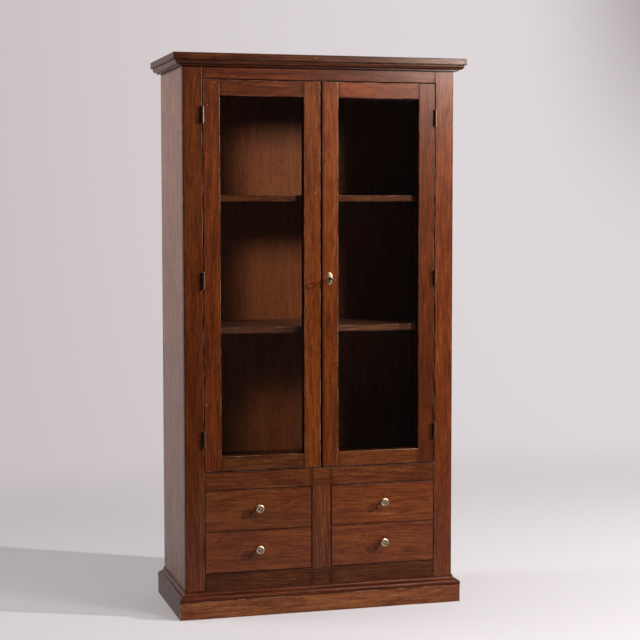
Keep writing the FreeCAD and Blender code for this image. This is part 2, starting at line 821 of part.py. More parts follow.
def lock_screws(grow):
    reach = (lock_height + lock_ear) / 2
    return [wood_screw(V(door_inner + lock_length / 2, door_back, keyhole_height + side * reach),
                       V(0, -1, 0), lock_wall, lock_screw_length, grow)
            for side in (-1, 1)]


def bolt_bar(x0, x1, grow):
    """The bolt's section between two places, or its slot when it grows by a clearance."""
    return box(x0, x1, bolt_front - grow, bolt_back + grow, bolt_low - grow, bolt_high + grow)


def make_lock_case():
    """The case, open to the wood in front, with the bolt's slot in its edge, and its screws."""
    half = lock_height / 2 - lock_wall
    hollow = box(door_inner + lock_wall, door_inner + lock_length - lock_wall,
                 door_back - lock_depth - overrun, door_back - lock_wall,
                 keyhole_height - half, keyhole_height + half)
    case = lock_body().fuse(lock_back_plate()).removeSplitter().cut(hollow)
    case = case.cut(bolt_bar(door_inner - overrun, door_inner + lock_wall + overrun, bolt_clearance))
    for hole in lock_screws(screw_clearance):
        case = case.cut(hole)
    return Part.makeCompound([case.Solids[0]] + lock_screws(0))


def make_lock_bolt():
    """The bolt, drawn in, with the notch that the key's bit works in."""
    bolt = bolt_bar(door_inner, door_inner + lock_length - lock_wall - bolt_end_gap, 0)
    notch_start = keyhole_x + bolt_notch_from_key
    notch = box(notch_start, notch_start + bolt_notch_width, bolt_front - overrun, bolt_back + overrun,
                bolt_low - overrun, bolt_low + bolt_notch_height)
    return bolt.cut(notch)


def make_key():
    """The key: a ring for the fingers, a collar, the stem, and the bit, which at rest points away from the
    bolt and a little down."""
    ring_y = front - key_ring_from_face
    ring_middle = key_ring_radius - key_ring_wire_radius
    ring = Part.makeTorus(ring_middle, key_ring_wire_radius, V(keyhole_x, ring_y, keyhole_height))
    stem_start = ring_y + ring_middle
    stem = Part.makeCylinder(key_stem_radius, bolt_back - stem_start,
                             V(keyhole_x, stem_start, keyhole_height), V(0, 1, 0))
    collar = Part.makeCylinder(key_collar_radius, key_collar_height,
                               V(keyhole_x, front - key_collar_from_face, keyhole_height), V(0, -1, 0))
    half = key_bit_thickness / 2
    bit = box(keyhole_x, keyhole_x + key_bit_reach, bolt_front + key_bit_side_gap,
              bolt_back - key_bit_side_gap, keyhole_height - half, keyhole_height + half)
    key = ring.fuse(stem).fuse(collar).fuse(bit).removeSplitter()
    key.rotate(V(keyhole_x, 0, keyhole_height), V(0, 1, 0), key_rest_turn)
    return key


def cut_for_lock(stile):
    """Lets the escutcheon's pins, the lock and the keyhole into the right door's meeting stile."""
    stile = stile.cut(lock_body()).cut(lock_back_plate())
    stile = stile.cut(keyhole(front - overrun, door_back - lock_depth + overrun))
    for hole in plate_pins(screw_clearance) + lock_screws(screw_clearance):
        stile = stile.cut(hole)
    return stile


def keeper_heights():
    return bolt_low - keeper_margin, bolt_high + keeper_margin


def keeper_screws(grow):
    low, high = keeper_heights()
    middle = door_back - keeper_width / 2
    return [wood_screw(V(-door_inner, middle, place), V(-1, 0, 0), keeper_thickness, lock_screw_length, grow)
            for place in (low + keeper_screw_inset, high - keeper_screw_inset)]


def keeper_plate():
    low, high = keeper_heights()
    return box(-door_inner - keeper_thickness, -door_inner, door_back - keeper_width, door_back, low, high)


def make_keeper():
    """The plate in the left door's meeting edge that the bolt goes through, and its screws."""
    plate = keeper_plate().cut(bolt_bar(-door_inner - keeper_thickness - overrun, -door_inner + overrun,
                                        keeper_slot_clearance))
    for hole in keeper_screws(screw_clearance):
        plate = plate.cut(hole)
    return Part.makeCompound([plate.Solids[0]] + keeper_screws(0))


def cut_for_keeper(stile):
    """Lets the keeper and the bolt's mortise into the left door's meeting stile."""
    stile = stile.cut(keeper_plate())
    stile = stile.cut(bolt_bar(-door_inner - keeper_mortise_depth, -door_inner, keeper_slot_clearance))
    for hole in keeper_screws(screw_clearance):
        stile = stile.cut(hole)
    return stile


# Drawers, made for the left side

def drawer_front(level):
    high = level + drawer_height
    board = box(-drawer_outer, -drawer_inner, front, front + drawer_front_thickness, level, high)
    board = eased(board, drawer_arris, {"y": front, "z": level}, {"y": front, "z": high},
                  {"x": -drawer_outer, "y": front}, {"x": -drawer_inner, "y": front})
    board = board.cut(drawer_bottom(level, fit_clearance))
    return board.cut(knob_screw(-drawer_centre, level + drawer_knob_share * drawer_height,
                                drawer_front_thickness, screw_clearance))


def drawer_bottom(level, grow):
    """The thin bottom, let into grooves in the front and the sides, or those grooves with a clearance."""
    low = level + drawer_bottom_height
    reach = drawer_side_thickness - drawer_groove_depth
    return box(-drawer_outer + reach - grow, -drawer_inner - reach + grow,
               front + drawer_front_thickness - drawer_groove_depth - grow,
               back_panel_face - drawer_back_clearance,
               low - grow, low + drawer_bottom_thickness + grow)


def drawer_box(level):
    """Two sides, a back and the bottom, which the back stands on."""
    y0 = front + drawer_front_thickness
    y1 = back_panel_face - drawer_back_clearance
    high = level + drawer_side_height
    outer = box(-drawer_outer, -drawer_outer + drawer_side_thickness, y0, y1, level, high)
    inner = box(-drawer_inner - drawer_side_thickness, -drawer_inner, y0, y1, level, high)
    groove = drawer_bottom(level, fit_clearance)
    rear = box(-drawer_outer + drawer_side_thickness, -drawer_inner - drawer_side_thickness,
               y1 - drawer_side_thickness, y1,
               level + drawer_bottom_height + drawer_bottom_thickness, high)
    return Part.makeCompound([outer.cut(groove), inner.cut(groove), rear, drawer_bottom(level, 0)])


def make_drawer(level):
    return {
        "front": drawer_front(level),
        "box": drawer_box(level),
        "knob": round_knob(-drawer_centre, level + drawer_knob_share * drawer_height,
                           drawer_front_thickness),
    }


def make_nodes():
    nodes = {}
    post = make_post()
    nodes["post_left"] = post
    nodes["post_right"] = mirrored(post)
    side_panel = make_side_panel()
    nodes["side_panel_left"] = side_panel
    nodes["side_panel_right"] = mirrored(side_panel)
    nodes.update(make_front_rails())
    nodes["drawer_divider"] = make_divider()
    nodes["centre_partition"] = make_centre_partition()
    nodes["back_panel"] = make_back_panel()
    nodes["display_floor"] = make_display_floor()
    for name, top in zip(("shelf_lower", "shelf_upper"), shelf_tops):
        nodes[name] = make_shelf(top)
    nodes["shelf_battens"] = make_shelf_battens()
    nodes["door_stop"] = make_door_stop()
    nodes["ball_catches"] = make_ball_catches()
    nodes["drawer_runners"] = make_drawer_runners()

    nodes["cornice_board"] = make_cornice_board()
    strips = {
        "cornice_moulding": make_cornice_mouldings(),
        "plinth_board": make_plinth_boards(),
        "plinth_moulding": make_plinth_mouldings(),
    }
    for name, (front_strip, left_strip, right_strip) in strips.items():
        nodes[name + "_front"] = front_strip
        nodes[name + "_left"] = left_strip
        nodes[name + "_right"] = right_strip

    nodes.update(make_hinges())
    for name, piece in make_door().items():
        nodes["left_door_" + name] = piece
        nodes["right_door_" + name] = mirrored(piece)
    nodes["right_door_meeting_stile"] = cut_for_lock(nodes["right_door_meeting_stile"])
    nodes["left_door_meeting_stile"] = cut_for_keeper(nodes["left_door_meeting_stile"])
    nodes["right_door_escutcheon"] = make_escutcheon()
    nodes["right_door_lock_case"] = make_lock_case()
    nodes["left_door_lock_keeper"] = make_keeper()
    nodes["lock_bolt"] = make_lock_bolt()
    nodes["door_key"] = make_key()

    for row, level in zip(("lower", "upper"), drawer_levels):
        for name, piece in make_drawer(level).items():
            nodes["drawer_" + row + "_left_" + name] = piece
            nodes["drawer_" + row + "_right_" + name] = mirrored(piece)
    return nodes


def main():
    os.makedirs("parts", exist_ok=True)
    for name, shape in make_nodes().items():
        if not shape.isValid():
            print("not valid:", name)
        shape.exportStep("parts/" + name + ".step")


main()
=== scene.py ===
import json
import math

import bmesh
import bpy
from bpy.props import FloatProperty, FloatVectorProperty, IntProperty, PointerProperty
from bpy.types import Operator, Panel, PropertyGroup
from mathutils import Matrix, Vector


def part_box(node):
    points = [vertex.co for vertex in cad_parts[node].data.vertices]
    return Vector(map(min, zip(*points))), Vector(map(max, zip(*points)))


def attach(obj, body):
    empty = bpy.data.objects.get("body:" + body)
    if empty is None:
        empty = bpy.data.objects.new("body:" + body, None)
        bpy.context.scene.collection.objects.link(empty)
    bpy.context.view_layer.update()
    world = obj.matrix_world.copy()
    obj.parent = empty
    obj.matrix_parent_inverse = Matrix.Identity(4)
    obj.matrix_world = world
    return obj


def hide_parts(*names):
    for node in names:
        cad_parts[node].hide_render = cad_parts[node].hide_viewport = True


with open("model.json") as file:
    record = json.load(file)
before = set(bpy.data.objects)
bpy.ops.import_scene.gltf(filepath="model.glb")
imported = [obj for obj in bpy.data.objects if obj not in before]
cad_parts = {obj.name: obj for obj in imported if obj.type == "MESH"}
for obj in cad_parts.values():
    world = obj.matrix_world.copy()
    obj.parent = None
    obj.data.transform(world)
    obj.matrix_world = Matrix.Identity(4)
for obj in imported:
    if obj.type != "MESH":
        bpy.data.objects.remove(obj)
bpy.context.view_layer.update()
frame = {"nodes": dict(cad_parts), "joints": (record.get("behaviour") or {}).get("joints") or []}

bl_info = {
    "name": "Display Cabinet",
    "version": (1, 0, 0),
    "blender": (4, 5, 0),
    "location": "View3D > Sidebar > Cabinet",
    "description": "Stains, glazes and fits out a display cabinet, and sets up a plain studio round it",
    "category": "Object",
}

MM = 0.001


# Places that the fittings take from the cabinet's own pieces, and the ways out of its front and in

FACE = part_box("post_left")[0].y
PLATE_LOW, PLATE_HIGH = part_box("right_door_escutcheon")
KEY_LOW, KEY_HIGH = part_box("door_key")
LOCK_AXIS = next(Vector(joint["pos_m"]) for joint in frame["joints"] if joint["name"] == "door_key_turn")
OUTWARDS = Vector((0, -1, 0))
INWARDS = Vector((0, 1, 0))


# Patterns in the wood: repeats in a metre across, through and along it, detail, roughness, distortion
PATTERNS = {
    "drift": ((5.0, 5.0, 1.1), 3.0, 0.55, 0.4),
    "wander": ((30.0, 30.0, 4.0), 3.0, 0.6, 0.0),
    "fibre": ((300.0, 300.0, 12.0), 5.0, 0.65, 0.0),
    "fleck": ((230.0, 230.0, 32.0), 3.0, 0.65, 0.4),
    "streak": ((75.0, 75.0, 5.0), 3.0, 0.6, 0.3),
    "pores": ((420.0, 420.0, 80.0), 2.0, 0.5, 0.0),
    "blotch": ((14.0, 14.0, 5.0), 5.0, 0.65, 0.6),
    "rub": ((60.0, 60.0, 22.0), 3.0, 0.7, 0.0),
    "marks": ((150.0, 150.0, 60.0), 1.0, 0.5, 0.0),
    "plain_drift": ((6.0, 6.0, 1.2), 3.0, 0.55, 0.5),
    "plain_fibre": ((420.0, 420.0, 10.0), 4.0, 0.6, 0.0),
    "plain_blotch": ((11.0, 11.0, 3.0), 3.0, 0.5, 0.0),
}

# The levels of a pattern between which a mark sets in
PORE_STEP = (0.60, 0.68)
RUB_STEP = (0.44, 0.58)
CHIP_STEP = (0.78, 0.81)
SPOT_STEP = (0.25, 0.36)

# How light the wood is at each share of a ring's width
RING_LEVELS = ((0.0, 0.15), (0.55, 0.75), (0.86, 1.0), (1.0, 0.15))
PLAIN_RING_LEVELS = ((0.0, 0.2), (0.7, 0.9), (0.92, 1.0), (1.0, 0.2))

# How far off in the log a board is cut, in metres for each unit of its seed
CUT_STEP = (0.37, 0.19, 0.83)
PLAIN_CUT_STEP = (0.41, 0.23, 0.71)


# Shader maths

class Wire:
    """A value in a node tree. A sum or a product of wires adds its Math node."""

    def __init__(self, tree, socket):
        self.tree = tree
        self.socket = socket

    def out(self, name):
        """Another output of the same node."""
        return Wire(self.tree, self.socket.node.outputs[name])

    def __add__(self, other):
        return self.tree.math("ADD", self, other)

    def __radd__(self, other):
        return self.tree.math("ADD", other, self)

    def __sub__(self, other):
        return self.tree.math("SUBTRACT", self, other)

    def __rsub__(self, other):
        return self.tree.math("SUBTRACT", other, self)

    def __mul__(self, other):
        return self.tree.math("MULTIPLY", self, other)

    def __rmul__(self, other):
        return self.tree.math("MULTIPLY", other, self)

    def __truediv__(self, other):
        return self.tree.math("DIVIDE", self, other)


class Tree:
    """The nodes of one material, or of the world."""

    def __init__(self, owner):
        owner.use_nodes = True
        self.nodes = owner.node_tree.nodes
        self.links = owner.node_tree.links
        self.nodes.clear()

    def add(self, kind, settings=None, inputs=None, output=0):
        """Adds a node: its settings first, then the values or wires of its sockets."""
        node = self.nodes.new(kind)
        for name, value in (settings or {}).items():
            if name == "stops":
                set_stops(node.color_ramp, value)
            else:
                setattr(node, name, value)
        for name, value in (inputs or {}).items():
            socket = node.inputs[name]
            if isinstance(value, Wire):
                self.links.new(value.socket, socket)
            elif socket.type == "RGBA":
                socket.default_value = tuple(value)[:3] + (1.0,)
            else:
                socket.default_value = value
        return Wire(self, node.outputs[output]) if node.outputs else node

    def math(self, operation, first, second=0.0):
        return self.add("ShaderNodeMath", {"operation": operation}, {0: first, 1: second})

    def place(self):
        """The point on the piece, in metres from the cabinet's origin."""
        return self.add("ShaderNodeTexCoord").out("Object")

    def scaled(self, vector, factors):
        return self.add("ShaderNodeVectorMath", {"operation": "MULTIPLY"}, {0: vector, 1: factors})

    def noise(self, vector, scale, detail=2.0, roughness=0.5, distortion=0.0):
        return self.add("ShaderNodeTexNoise", {}, {"Vector": vector, "Scale": scale, "Detail": detail,
                                                   "Roughness": roughness, "Distortion": distortion})

    def pattern(self, point, name):
        """One of the wood's patterns, which swings round a half."""
        stretch, detail, roughness, distortion = PATTERNS[name]
        return self.noise(self.scaled(point, stretch), 1.0, detail, roughness, distortion)

    def between(self, value, low, high):
        """0 up to low and 1 from high on, with a soft step."""
        settings = {"interpolation_type": "SMOOTHSTEP"}
        return self.add("ShaderNodeMapRange", settings, {"Value": value, "From Min": low, "From Max": high})

    def ramp(self, value, stops):
        return self.add("ShaderNodeValToRGB", {"stops": stops}, {"Fac": value})

    def levels(self, value, stops):
        """A ramp of greys."""
        return self.ramp(value, [(place, (level, level, level)) for place, level in stops])

    def mixed(self, factor, first, second):
        return self.add("ShaderNodeMix", {"data_type": "RGBA", "blend_type": "MIX", "clamp_factor": True},
                        {0: factor, 6: first, 7: second}, output=2)

    def bump(self, height, strength, distance):
        return self.add("ShaderNodeBump", {}, {"Height": height, "Strength": strength, "Distance": distance})

    def finish(self, shader, kind="ShaderNodeOutputMaterial"):
        self.add(kind, {}, {"Surface": shader})


def set_stops(ramp, stops):
    """Gives a colour ramp its stops, each a place and a colour."""
    while len(ramp.elements) < len(stops):
        ramp.elements.new(1.0)
    for element, (place, colour) in zip(ramp.elements, stops):
        element.position = place
        element.color = tuple(colour)[:3] + (1.0,)


def new_material(name):
    material = bpy.data.materials.new(name)
    return material, Tree(material)


def shaded(colour, shade, warmth=0.0, greyness=0.0):
    """A stain made lighter or darker, redder or more orange, and greyer; on the side pieces the greyness
    stands for a painted sheen.
    """
    red, green, blue = colour
    stain = (red * shade, green * shade * (1 + 0.35 * warmth), blue * shade * (1 - 0.25 * warmth))
    grey = 0.5 * stain[0] + 0.5 * stain[1]
    return tuple(part + (grey * 0.9 - part) * greyness for part in stain)


def grain_axes(tree, along):
    """The point with its grain direction last: across the board, through it and along it."""
    parts = tree.add("ShaderNodeSeparateXYZ", {}, {0: tree.place()})
    x, y, z = parts, parts.out("Y"), parts.out("Z")
    order = {"X": (z, y, x), "Y": (x, z, y), "Z": (x, y, z)}[along]
    return tree.add("ShaderNodeCombineXYZ", {}, {0: order[0], 1: order[1], 2: order[2]})


def cut_from_log(tree, along, seed, step):
    """The point on a board, moved to that board's own place in the log."""
    place = tuple(part * seed for part in step)
    return tree.add("ShaderNodeVectorMath", {"operation": "ADD"}, {0: grain_axes(tree, along), 1: place})


def arris_distance(tree, node):
    """How far a point on a board's face lies from the nearest arris: the middle one of three gaps."""
    low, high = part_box(node)
    parts = tree.add("ShaderNodeSeparateXYZ", {}, {0: tree.place()})
    gaps = [tree.math("MINIMUM", parts.out(name) - low[axis], high[axis] - parts.out(name))
            for axis, name in enumerate("XYZ")]
    smaller = tree.math("MINIMUM", gaps[0], gaps[1])
    larger = tree.math("MAXIMUM", gaps[0], gaps[1])
    return tree.math("MAXIMUM", smaller, tree.math("MINIMUM", larger, gaps[2]))


def joint_shade(tree, along, places, reach):
    """1 on the joint lines that cross a board and 0 a little way off."""
    place = tree.add("ShaderNodeSeparateXYZ", {}, {0: tree.place()}).out(along)
    shade = None
    for line in places:
        near = 1.0 - tree.between(tree.math("ABSOLUTE", place - line), 0.0, reach)
        shade = near if shade is None else tree.math("MAXIMUM", shade, near)
    return shade


def wood(look, node, along, seed, shade=1.0, warmth=0.0, ring_width=9.0, contrast=1.0, greyness=0.0,
         rubbed=1.0, sheen=1.0, joints=(), seam=None, darker_foot=0.0):
    """Stained hardwood under a satin lacquer, with rings, fibres, pores, blotches and pale arrises, partly
    rubbed and partly painted highlight.

    A rim along each arris darkens with dirt and painted shade, dirt gathers on the joint lines that cross the
    board, and painted shade lies beside the seam, a gap that it has at one side.
    A painted shade at the foot darkens the board towards its lower end. Ring width is in millimetres.
    """
    material, tree = new_material(node + "_wood")
    point = cut_from_log(tree, along, seed, CUT_STEP)

    pith_spacing, pith_depth = 0.11, 0.04
    drift = tree.pattern(point, "drift")
    wander = tree.pattern(point, "wander")
    parts = tree.add("ShaderNodeSeparateXYZ", {}, {0: point})
    across = tree.add("ShaderNodeMath", {"operation": "PINGPONG"}, {0: parts, 1: pith_spacing})
    pith = tree.math("POWER", across * across + pith_depth ** 2, 0.5)
    rings = tree.math("FRACT", pith / (ring_width * MM) + drift * 11.0 + wander * 1.6)
    band = tree.levels(rings, RING_LEVELS)
    fibre = tree.pattern(point, "fibre")
    fleck = tree.pattern(point, "fleck")
    streak = tree.pattern(point, "streak")
    pores = tree.between(tree.pattern(point, "pores"), *PORE_STEP)
    blotch = tree.pattern(point, "blotch")

    # A pattern, its middle level, and how far it swings the stain
    swings = ((band, 0.6, 0.20), (fibre, 0.5, 0.80), (fleck, 0.5, 0.65), (streak, 0.5, 0.80),
              (blotch, 0.5, 0.75))
    figure = sum((pattern - level) * (swing * contrast) for pattern, level, swing in swings) + 0.47
    stains = ((0.0, look.dark_stain), (0.38, look.middle_stain), (0.66, look.light_stain),
              (1.0, look.bare_stain))
    colour = tree.ramp(figure, [(stop, shaded(stain, shade, warmth, greyness)) for stop, stain in stains])
    colour = tree.mixed(pores * look.pore_darkness, colour, shaded(look.dark_stain, 0.5 * shade))

    edge = arris_distance(tree, node)
    # Dirt and painted shade: the dark rim along each arris is partly dirt and partly the shade in the gaps
    # between parts
    dirt_and_gap_shade = (1.0 - tree.between(edge, 0.0, look.dirt_and_gap_shade_width)) * (0.35 + blotch * 0.5)
    if joints:
        smudge = joint_shade(tree, along, joints, look.smudge_reach) * (streak * 1.8 - 0.3)
        dirt_and_gap_shade = tree.math("MAXIMUM", dirt_and_gap_shade, smudge)
    # Painted shade: a dark strip beside the gap between the doors
    if seam is not None:
        gap_shade = joint_shade(tree, "X", (seam,), look.gap_shade_reach)
        dirt_and_gap_shade = tree.math("MAXIMUM", dirt_and_gap_shade, gap_shade * (0.9 + blotch * 0.4))
    colour = tree.mixed(dirt_and_gap_shade * look.dirt_and_gap_shade_strength, colour, shaded(look.dark_stain, 0.55 * shade))

    # Pale arrises: partly rubbing, partly a painted highlight where the rounded edges catch the light
    full_wear_and_highlight = 0.4 * MM
    wear_and_highlight = 1.0 - tree.between(edge, full_wear_and_highlight, look.wear_and_highlight_width)
    wear_and_highlight = wear_and_highlight * tree.between(tree.pattern(point, "rub"), *RUB_STEP)
    if seam is not None:
        wear_and_highlight = wear_and_highlight * (1.0 - gap_shade)
    colour = tree.mixed(wear_and_highlight * (look.arris_wear_and_highlight * rubbed), colour, shaded(look.bare_stain, 1.3 * shade, 0.3, 0.5))

    marks = tree.pattern(point, "marks")
    chips = tree.between(marks, *CHIP_STEP)
    colour = tree.mixed(chips * (0.75 * rubbed), colour, shaded(look.bare_stain, 1.6, 0.2, 0.25))
    spots = 1.0 - tree.between(marks, *SPOT_STEP)
    colour = tree.mixed(spots * look.spot_darkness, colour, shaded(look.dark_stain, 0.8 * shade))
    # Painted shade: the board darkens towards its lower end, where less light falls
    if darker_foot:
        low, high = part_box(node)
        rise = tree.add("ShaderNodeSeparateXYZ", {}, {0: tree.place()}).out("Z")
        foot = 1.0 - (rise - low.z) / (high.z - low.z)
        colour = tree.mixed(foot * darker_foot, colour, shaded(look.dark_stain, 0.5 * shade))

    roughness = look.lacquer_roughness + (blotch - 0.5) * 0.12 + pores * 0.18 + (fleck - 0.5) * 0.08
    gloss = 0.34 - pores * 0.26 + (fleck - 0.5) * 0.5 + (fibre - 0.5) * 0.4 - dirt_and_gap_shade * 0.3
    relief = fibre * 0.35 + fleck * 0.25 - pores * 0.8 + band * 0.15
    shader = tree.add("ShaderNodeBsdfPrincipled", {}, {
        "Base Color": colour, "Roughness": roughness, "Specular IOR Level": 0.07,
        "Coat Weight": gloss * sheen, "Coat Roughness": 0.26,
        "Normal": tree.bump(relief, 0.30, 0.20 * MM)})
    tree.finish(shader)
    return material


def plain_wood(look, node, along, seed, shade=1.0):
    """Paler unstained wood, lightly sealed, for what lies inside the drawers and behind their fronts."""
    material, tree = new_material(node + "_plain_wood")
    point = cut_from_log(tree, along, seed, PLAIN_CUT_STEP)
    ring_width, handled_width = 0.012, 0.012
    drift = tree.pattern(point, "plain_drift")
    parts = tree.add("ShaderNodeSeparateXYZ", {}, {0: point})
    rings = tree.math("FRACT", parts / ring_width + drift * 9.0)
    band = tree.levels(rings, PLAIN_RING_LEVELS)
    fibre = tree.pattern(point, "plain_fibre")
    blotch = tree.pattern(point, "plain_blotch")
    figure = band * 0.30 + fibre * 0.45 + blotch * 0.35 - 0.05
    tones = ((0.15, look.plain_dark), (0.85, look.plain_light))
    colour = tree.ramp(figure, [(stop, shaded(tone, shade)) for stop, tone in tones])
    edge = arris_distance(tree, node)
    handled = (1.0 - tree.between(edge, 0.0, handled_width)) * (0.3 + blotch * 0.4)
    colour = tree.mixed(handled, colour, shaded(look.plain_dark, 0.6 * shade))
    shader = tree.add("ShaderNodeBsdfPrincipled", {}, {
        "Base Color": colour, "Roughness": 0.62 + (fibre - 0.5) * 0.2,
        "Normal": tree.bump(fibre + band * 0.3, 0.35, 0.3 * MM)})
    tree.finish(shader)
    return material


def brass(look, name, polish=0.5, turned=False):
    """Aged brass. It is evenly polished, or as bright as each point of a turned piece says."""
    material, tree = new_material(name)
    point = tree.place()
    cloud = tree.noise(point, 160.0, detail=5.0, roughness=0.65, distortion=0.4)
    speck = tree.noise(point, 1500.0, detail=2.0, roughness=0.6)
    scratch = tree.noise(tree.scaled(point, (900.0, 5000.0, 900.0)), 1.0, 2.0)
    bright = tree.between(cloud * 0.8 + speck * 0.2, 0.30, 0.68)
    if turned:
        # On turned pieces the rubbed value also holds a painted light on the upper half
        rubbed = tree.add("ShaderNodeAttribute", {"attribute_name": "rubbed"}).out("Fac")
        bright = bright * 0.35 + rubbed * 0.75 - 0.05
    else:
        bright = bright * polish
    colour = tree.ramp(bright, [(0.0, look.tarnish), (0.45, look.old_brass), (1.0, look.bright_brass)])
    shader = tree.add("ShaderNodeBsdfPrincipled", {}, {
        "Base Color": colour, "Metallic": 0.85 + bright * 0.15,
        "Roughness": 0.40 - bright * 0.16 + speck * 0.10,
        "Normal": tree.bump(cloud + scratch * 0.3, 0.25, 0.12 * MM)})
    tree.finish(shader)
    return material


def glass(look, name):
    """A clear pane, faintly wavy and unevenly polished, that reflects more at a slant."""
    material, tree = new_material(name)
    point = tree.place()
    wave = tree.noise(tree.scaled(point, (3.0, 3.0, 1.6)), 1.0, 0.0)
    normal = tree.bump(wave, 0.05, 1.0 * MM)
    clear = tree.add("ShaderNodeBsdfTransparent", {}, {"Color": look.glass_tint})
    sheen = tree.add("ShaderNodeBsdfPrincipled", {}, {
        "Base Color": (0.95, 0.96, 0.96), "Metallic": 1.0,
        "Roughness": 0.03 + tree.noise(point, 38.0, 4.0) * 0.05, "Normal": normal})
    slant = tree.add("ShaderNodeFresnel", {}, {"IOR": 1.45})
    tree.finish(tree.add("ShaderNodeMixShader", {}, {0: slant * 0.6, 1: clear, 2: sheen}))
    return material


# Mesh helpers

def new_shape():
    """An empty shape whose points can say how bright they are: how far rubbed, and on turned pieces a painted
    light on the upper half.
    """
    shape = bmesh.new()
    shape.verts.layers.float.new("rubbed")
    return shape


def add_point(shape, place, polish=0.0):
    point = shape.verts.new(place)
    point[shape.verts.layers.float["rubbed"]] = polish
    return point


def bridge(shape, rings):
    """Joins each ring of points to the next by a band of faces. A ring may be a single point."""
    for lower, upper in zip(rings, rings[1:]):
        count = max(len(lower), len(upper))
        for index in range(count):
            following = (index + 1) % count
            corners = [lower[index % len(lower)], lower[following % len(lower)],
                       upper[following % len(upper)], upper[index % len(upper)]]
            corners = list(dict.fromkeys(corners))
            if len(corners) > 2:
                shape.faces.new(corners)


def softened(profile, rounds):
    """A profile with its corners cut again and again, so that it turns smoothly. Its ends stay."""
    for _ in range(rounds):
        cut = [profile[0]]
        for first, second in zip(profile, profile[1:]):
            cut.append(tuple(a * 0.75 + b * 0.25 for a, b in zip(first, second)))
            cut.append(tuple(a * 0.25 + b * 0.75 for a, b in zip(first, second)))
        cut.append(profile[-1])
        profile = cut
    return profile


def add_turning(shape, profile, foot, direction, segments, rounds=2):
    """Adds a turned form. A profile point is a radius, a place along the axis and how rubbed it is."""
    turn = direction.to_track_quat("Z", "Y").to_matrix()
    rings = []
    for radius, along, polish in softened(profile, rounds):
        ring = []
        for index in range(segments if radius > 0 else 1):
            angle = 2 * math.pi * index / segments
            local = turn @ (Vector((radius * math.cos(angle), radius * math.sin(angle), along)) * MM)
            # Painted light: the upper half of a turned piece is drawn brighter than the lower, as if lit from
            # above
            painted_top_light = local.z / (radius * MM) if radius > 0 else 0.0
            ring.append(add_point(shape, foot + local, polish * (0.78 + 0.22 * painted_top_light)))
        rings.append(ring)
    bridge(shape, rings)


def add_slotted_head(shape, foot, direction, radius, height):
    """Adds a screw head of two halves with a slot between them, on a thin disc."""
    slot_half, slot_depth = 0.14 * radius, 0.6 * height
    disc_segments, arc_steps, polish = 32, 14, 0.75
    turn = direction.to_track_quat("Z", "Y").to_matrix()
    base = height - slot_depth
    disc = [(0, 0, 0.3), (radius, 0, 0.3), (radius, base, 0.3), (0, base, 0.2)]
    add_turning(shape, disc, foot, direction, disc_segments, rounds=0)
    start = math.asin(slot_half / radius)
    angles = [start + (math.pi - 2 * start) * step / arc_steps for step in range(arc_steps + 1)]
    for side in (-1, 1):
        outline = [(radius * math.cos(angle), side * radius * math.sin(angle)) for angle in angles]
        levels = []
        for scale, along in ((1.0, base), (1.0, height * 0.75), (0.92, height)):
            ring = []
            for x, y in outline:
                local = Vector((x * scale, side * slot_half + (y - side * slot_half) * scale, along)) * MM
                ring.append(add_point(shape, foot + turn @ local, polish))
            levels.append(ring)
        bridge(shape, levels)
        shape.faces.new(levels[-1])


def finished_piece(name, shape, material, body, slot, *nodes):
    """Puts a modelled shape in the scene, in place of its plain pieces."""
    crease = math.radians(34)
    bmesh.ops.recalc_face_normals(shape, faces=shape.faces)
    mesh = bpy.data.meshes.new(name)
    shape.to_mesh(mesh)
    shape.free()
    mesh.shade_smooth()
    mesh.set_sharp_from_angle(angle=crease)
    mesh.materials.append(material)
    piece = bpy.data.objects.new(name, mesh)
    bpy.context.scene.collection.objects.link(piece)
    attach(piece, body)
    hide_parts(*nodes)


def paint(node, material):
    """Gives a piece its material."""
    target = frame["nodes"][node]
    target.data.materials.clear()
    target.data.materials.append(material)


def stain(look, node, along, seed, **finish):
    """Stains and lacquers a board whose grain runs along X, Y or Z."""
    paint(node, wood(look, node, along, seed, **finish))


def seal(look, node, along, seed, shade=1.0):
    """Seals an unstained piece whose grain runs along X, Y or Z."""
    paint(node, plain_wood(look, node, along, seed, shade))


# What a user would change

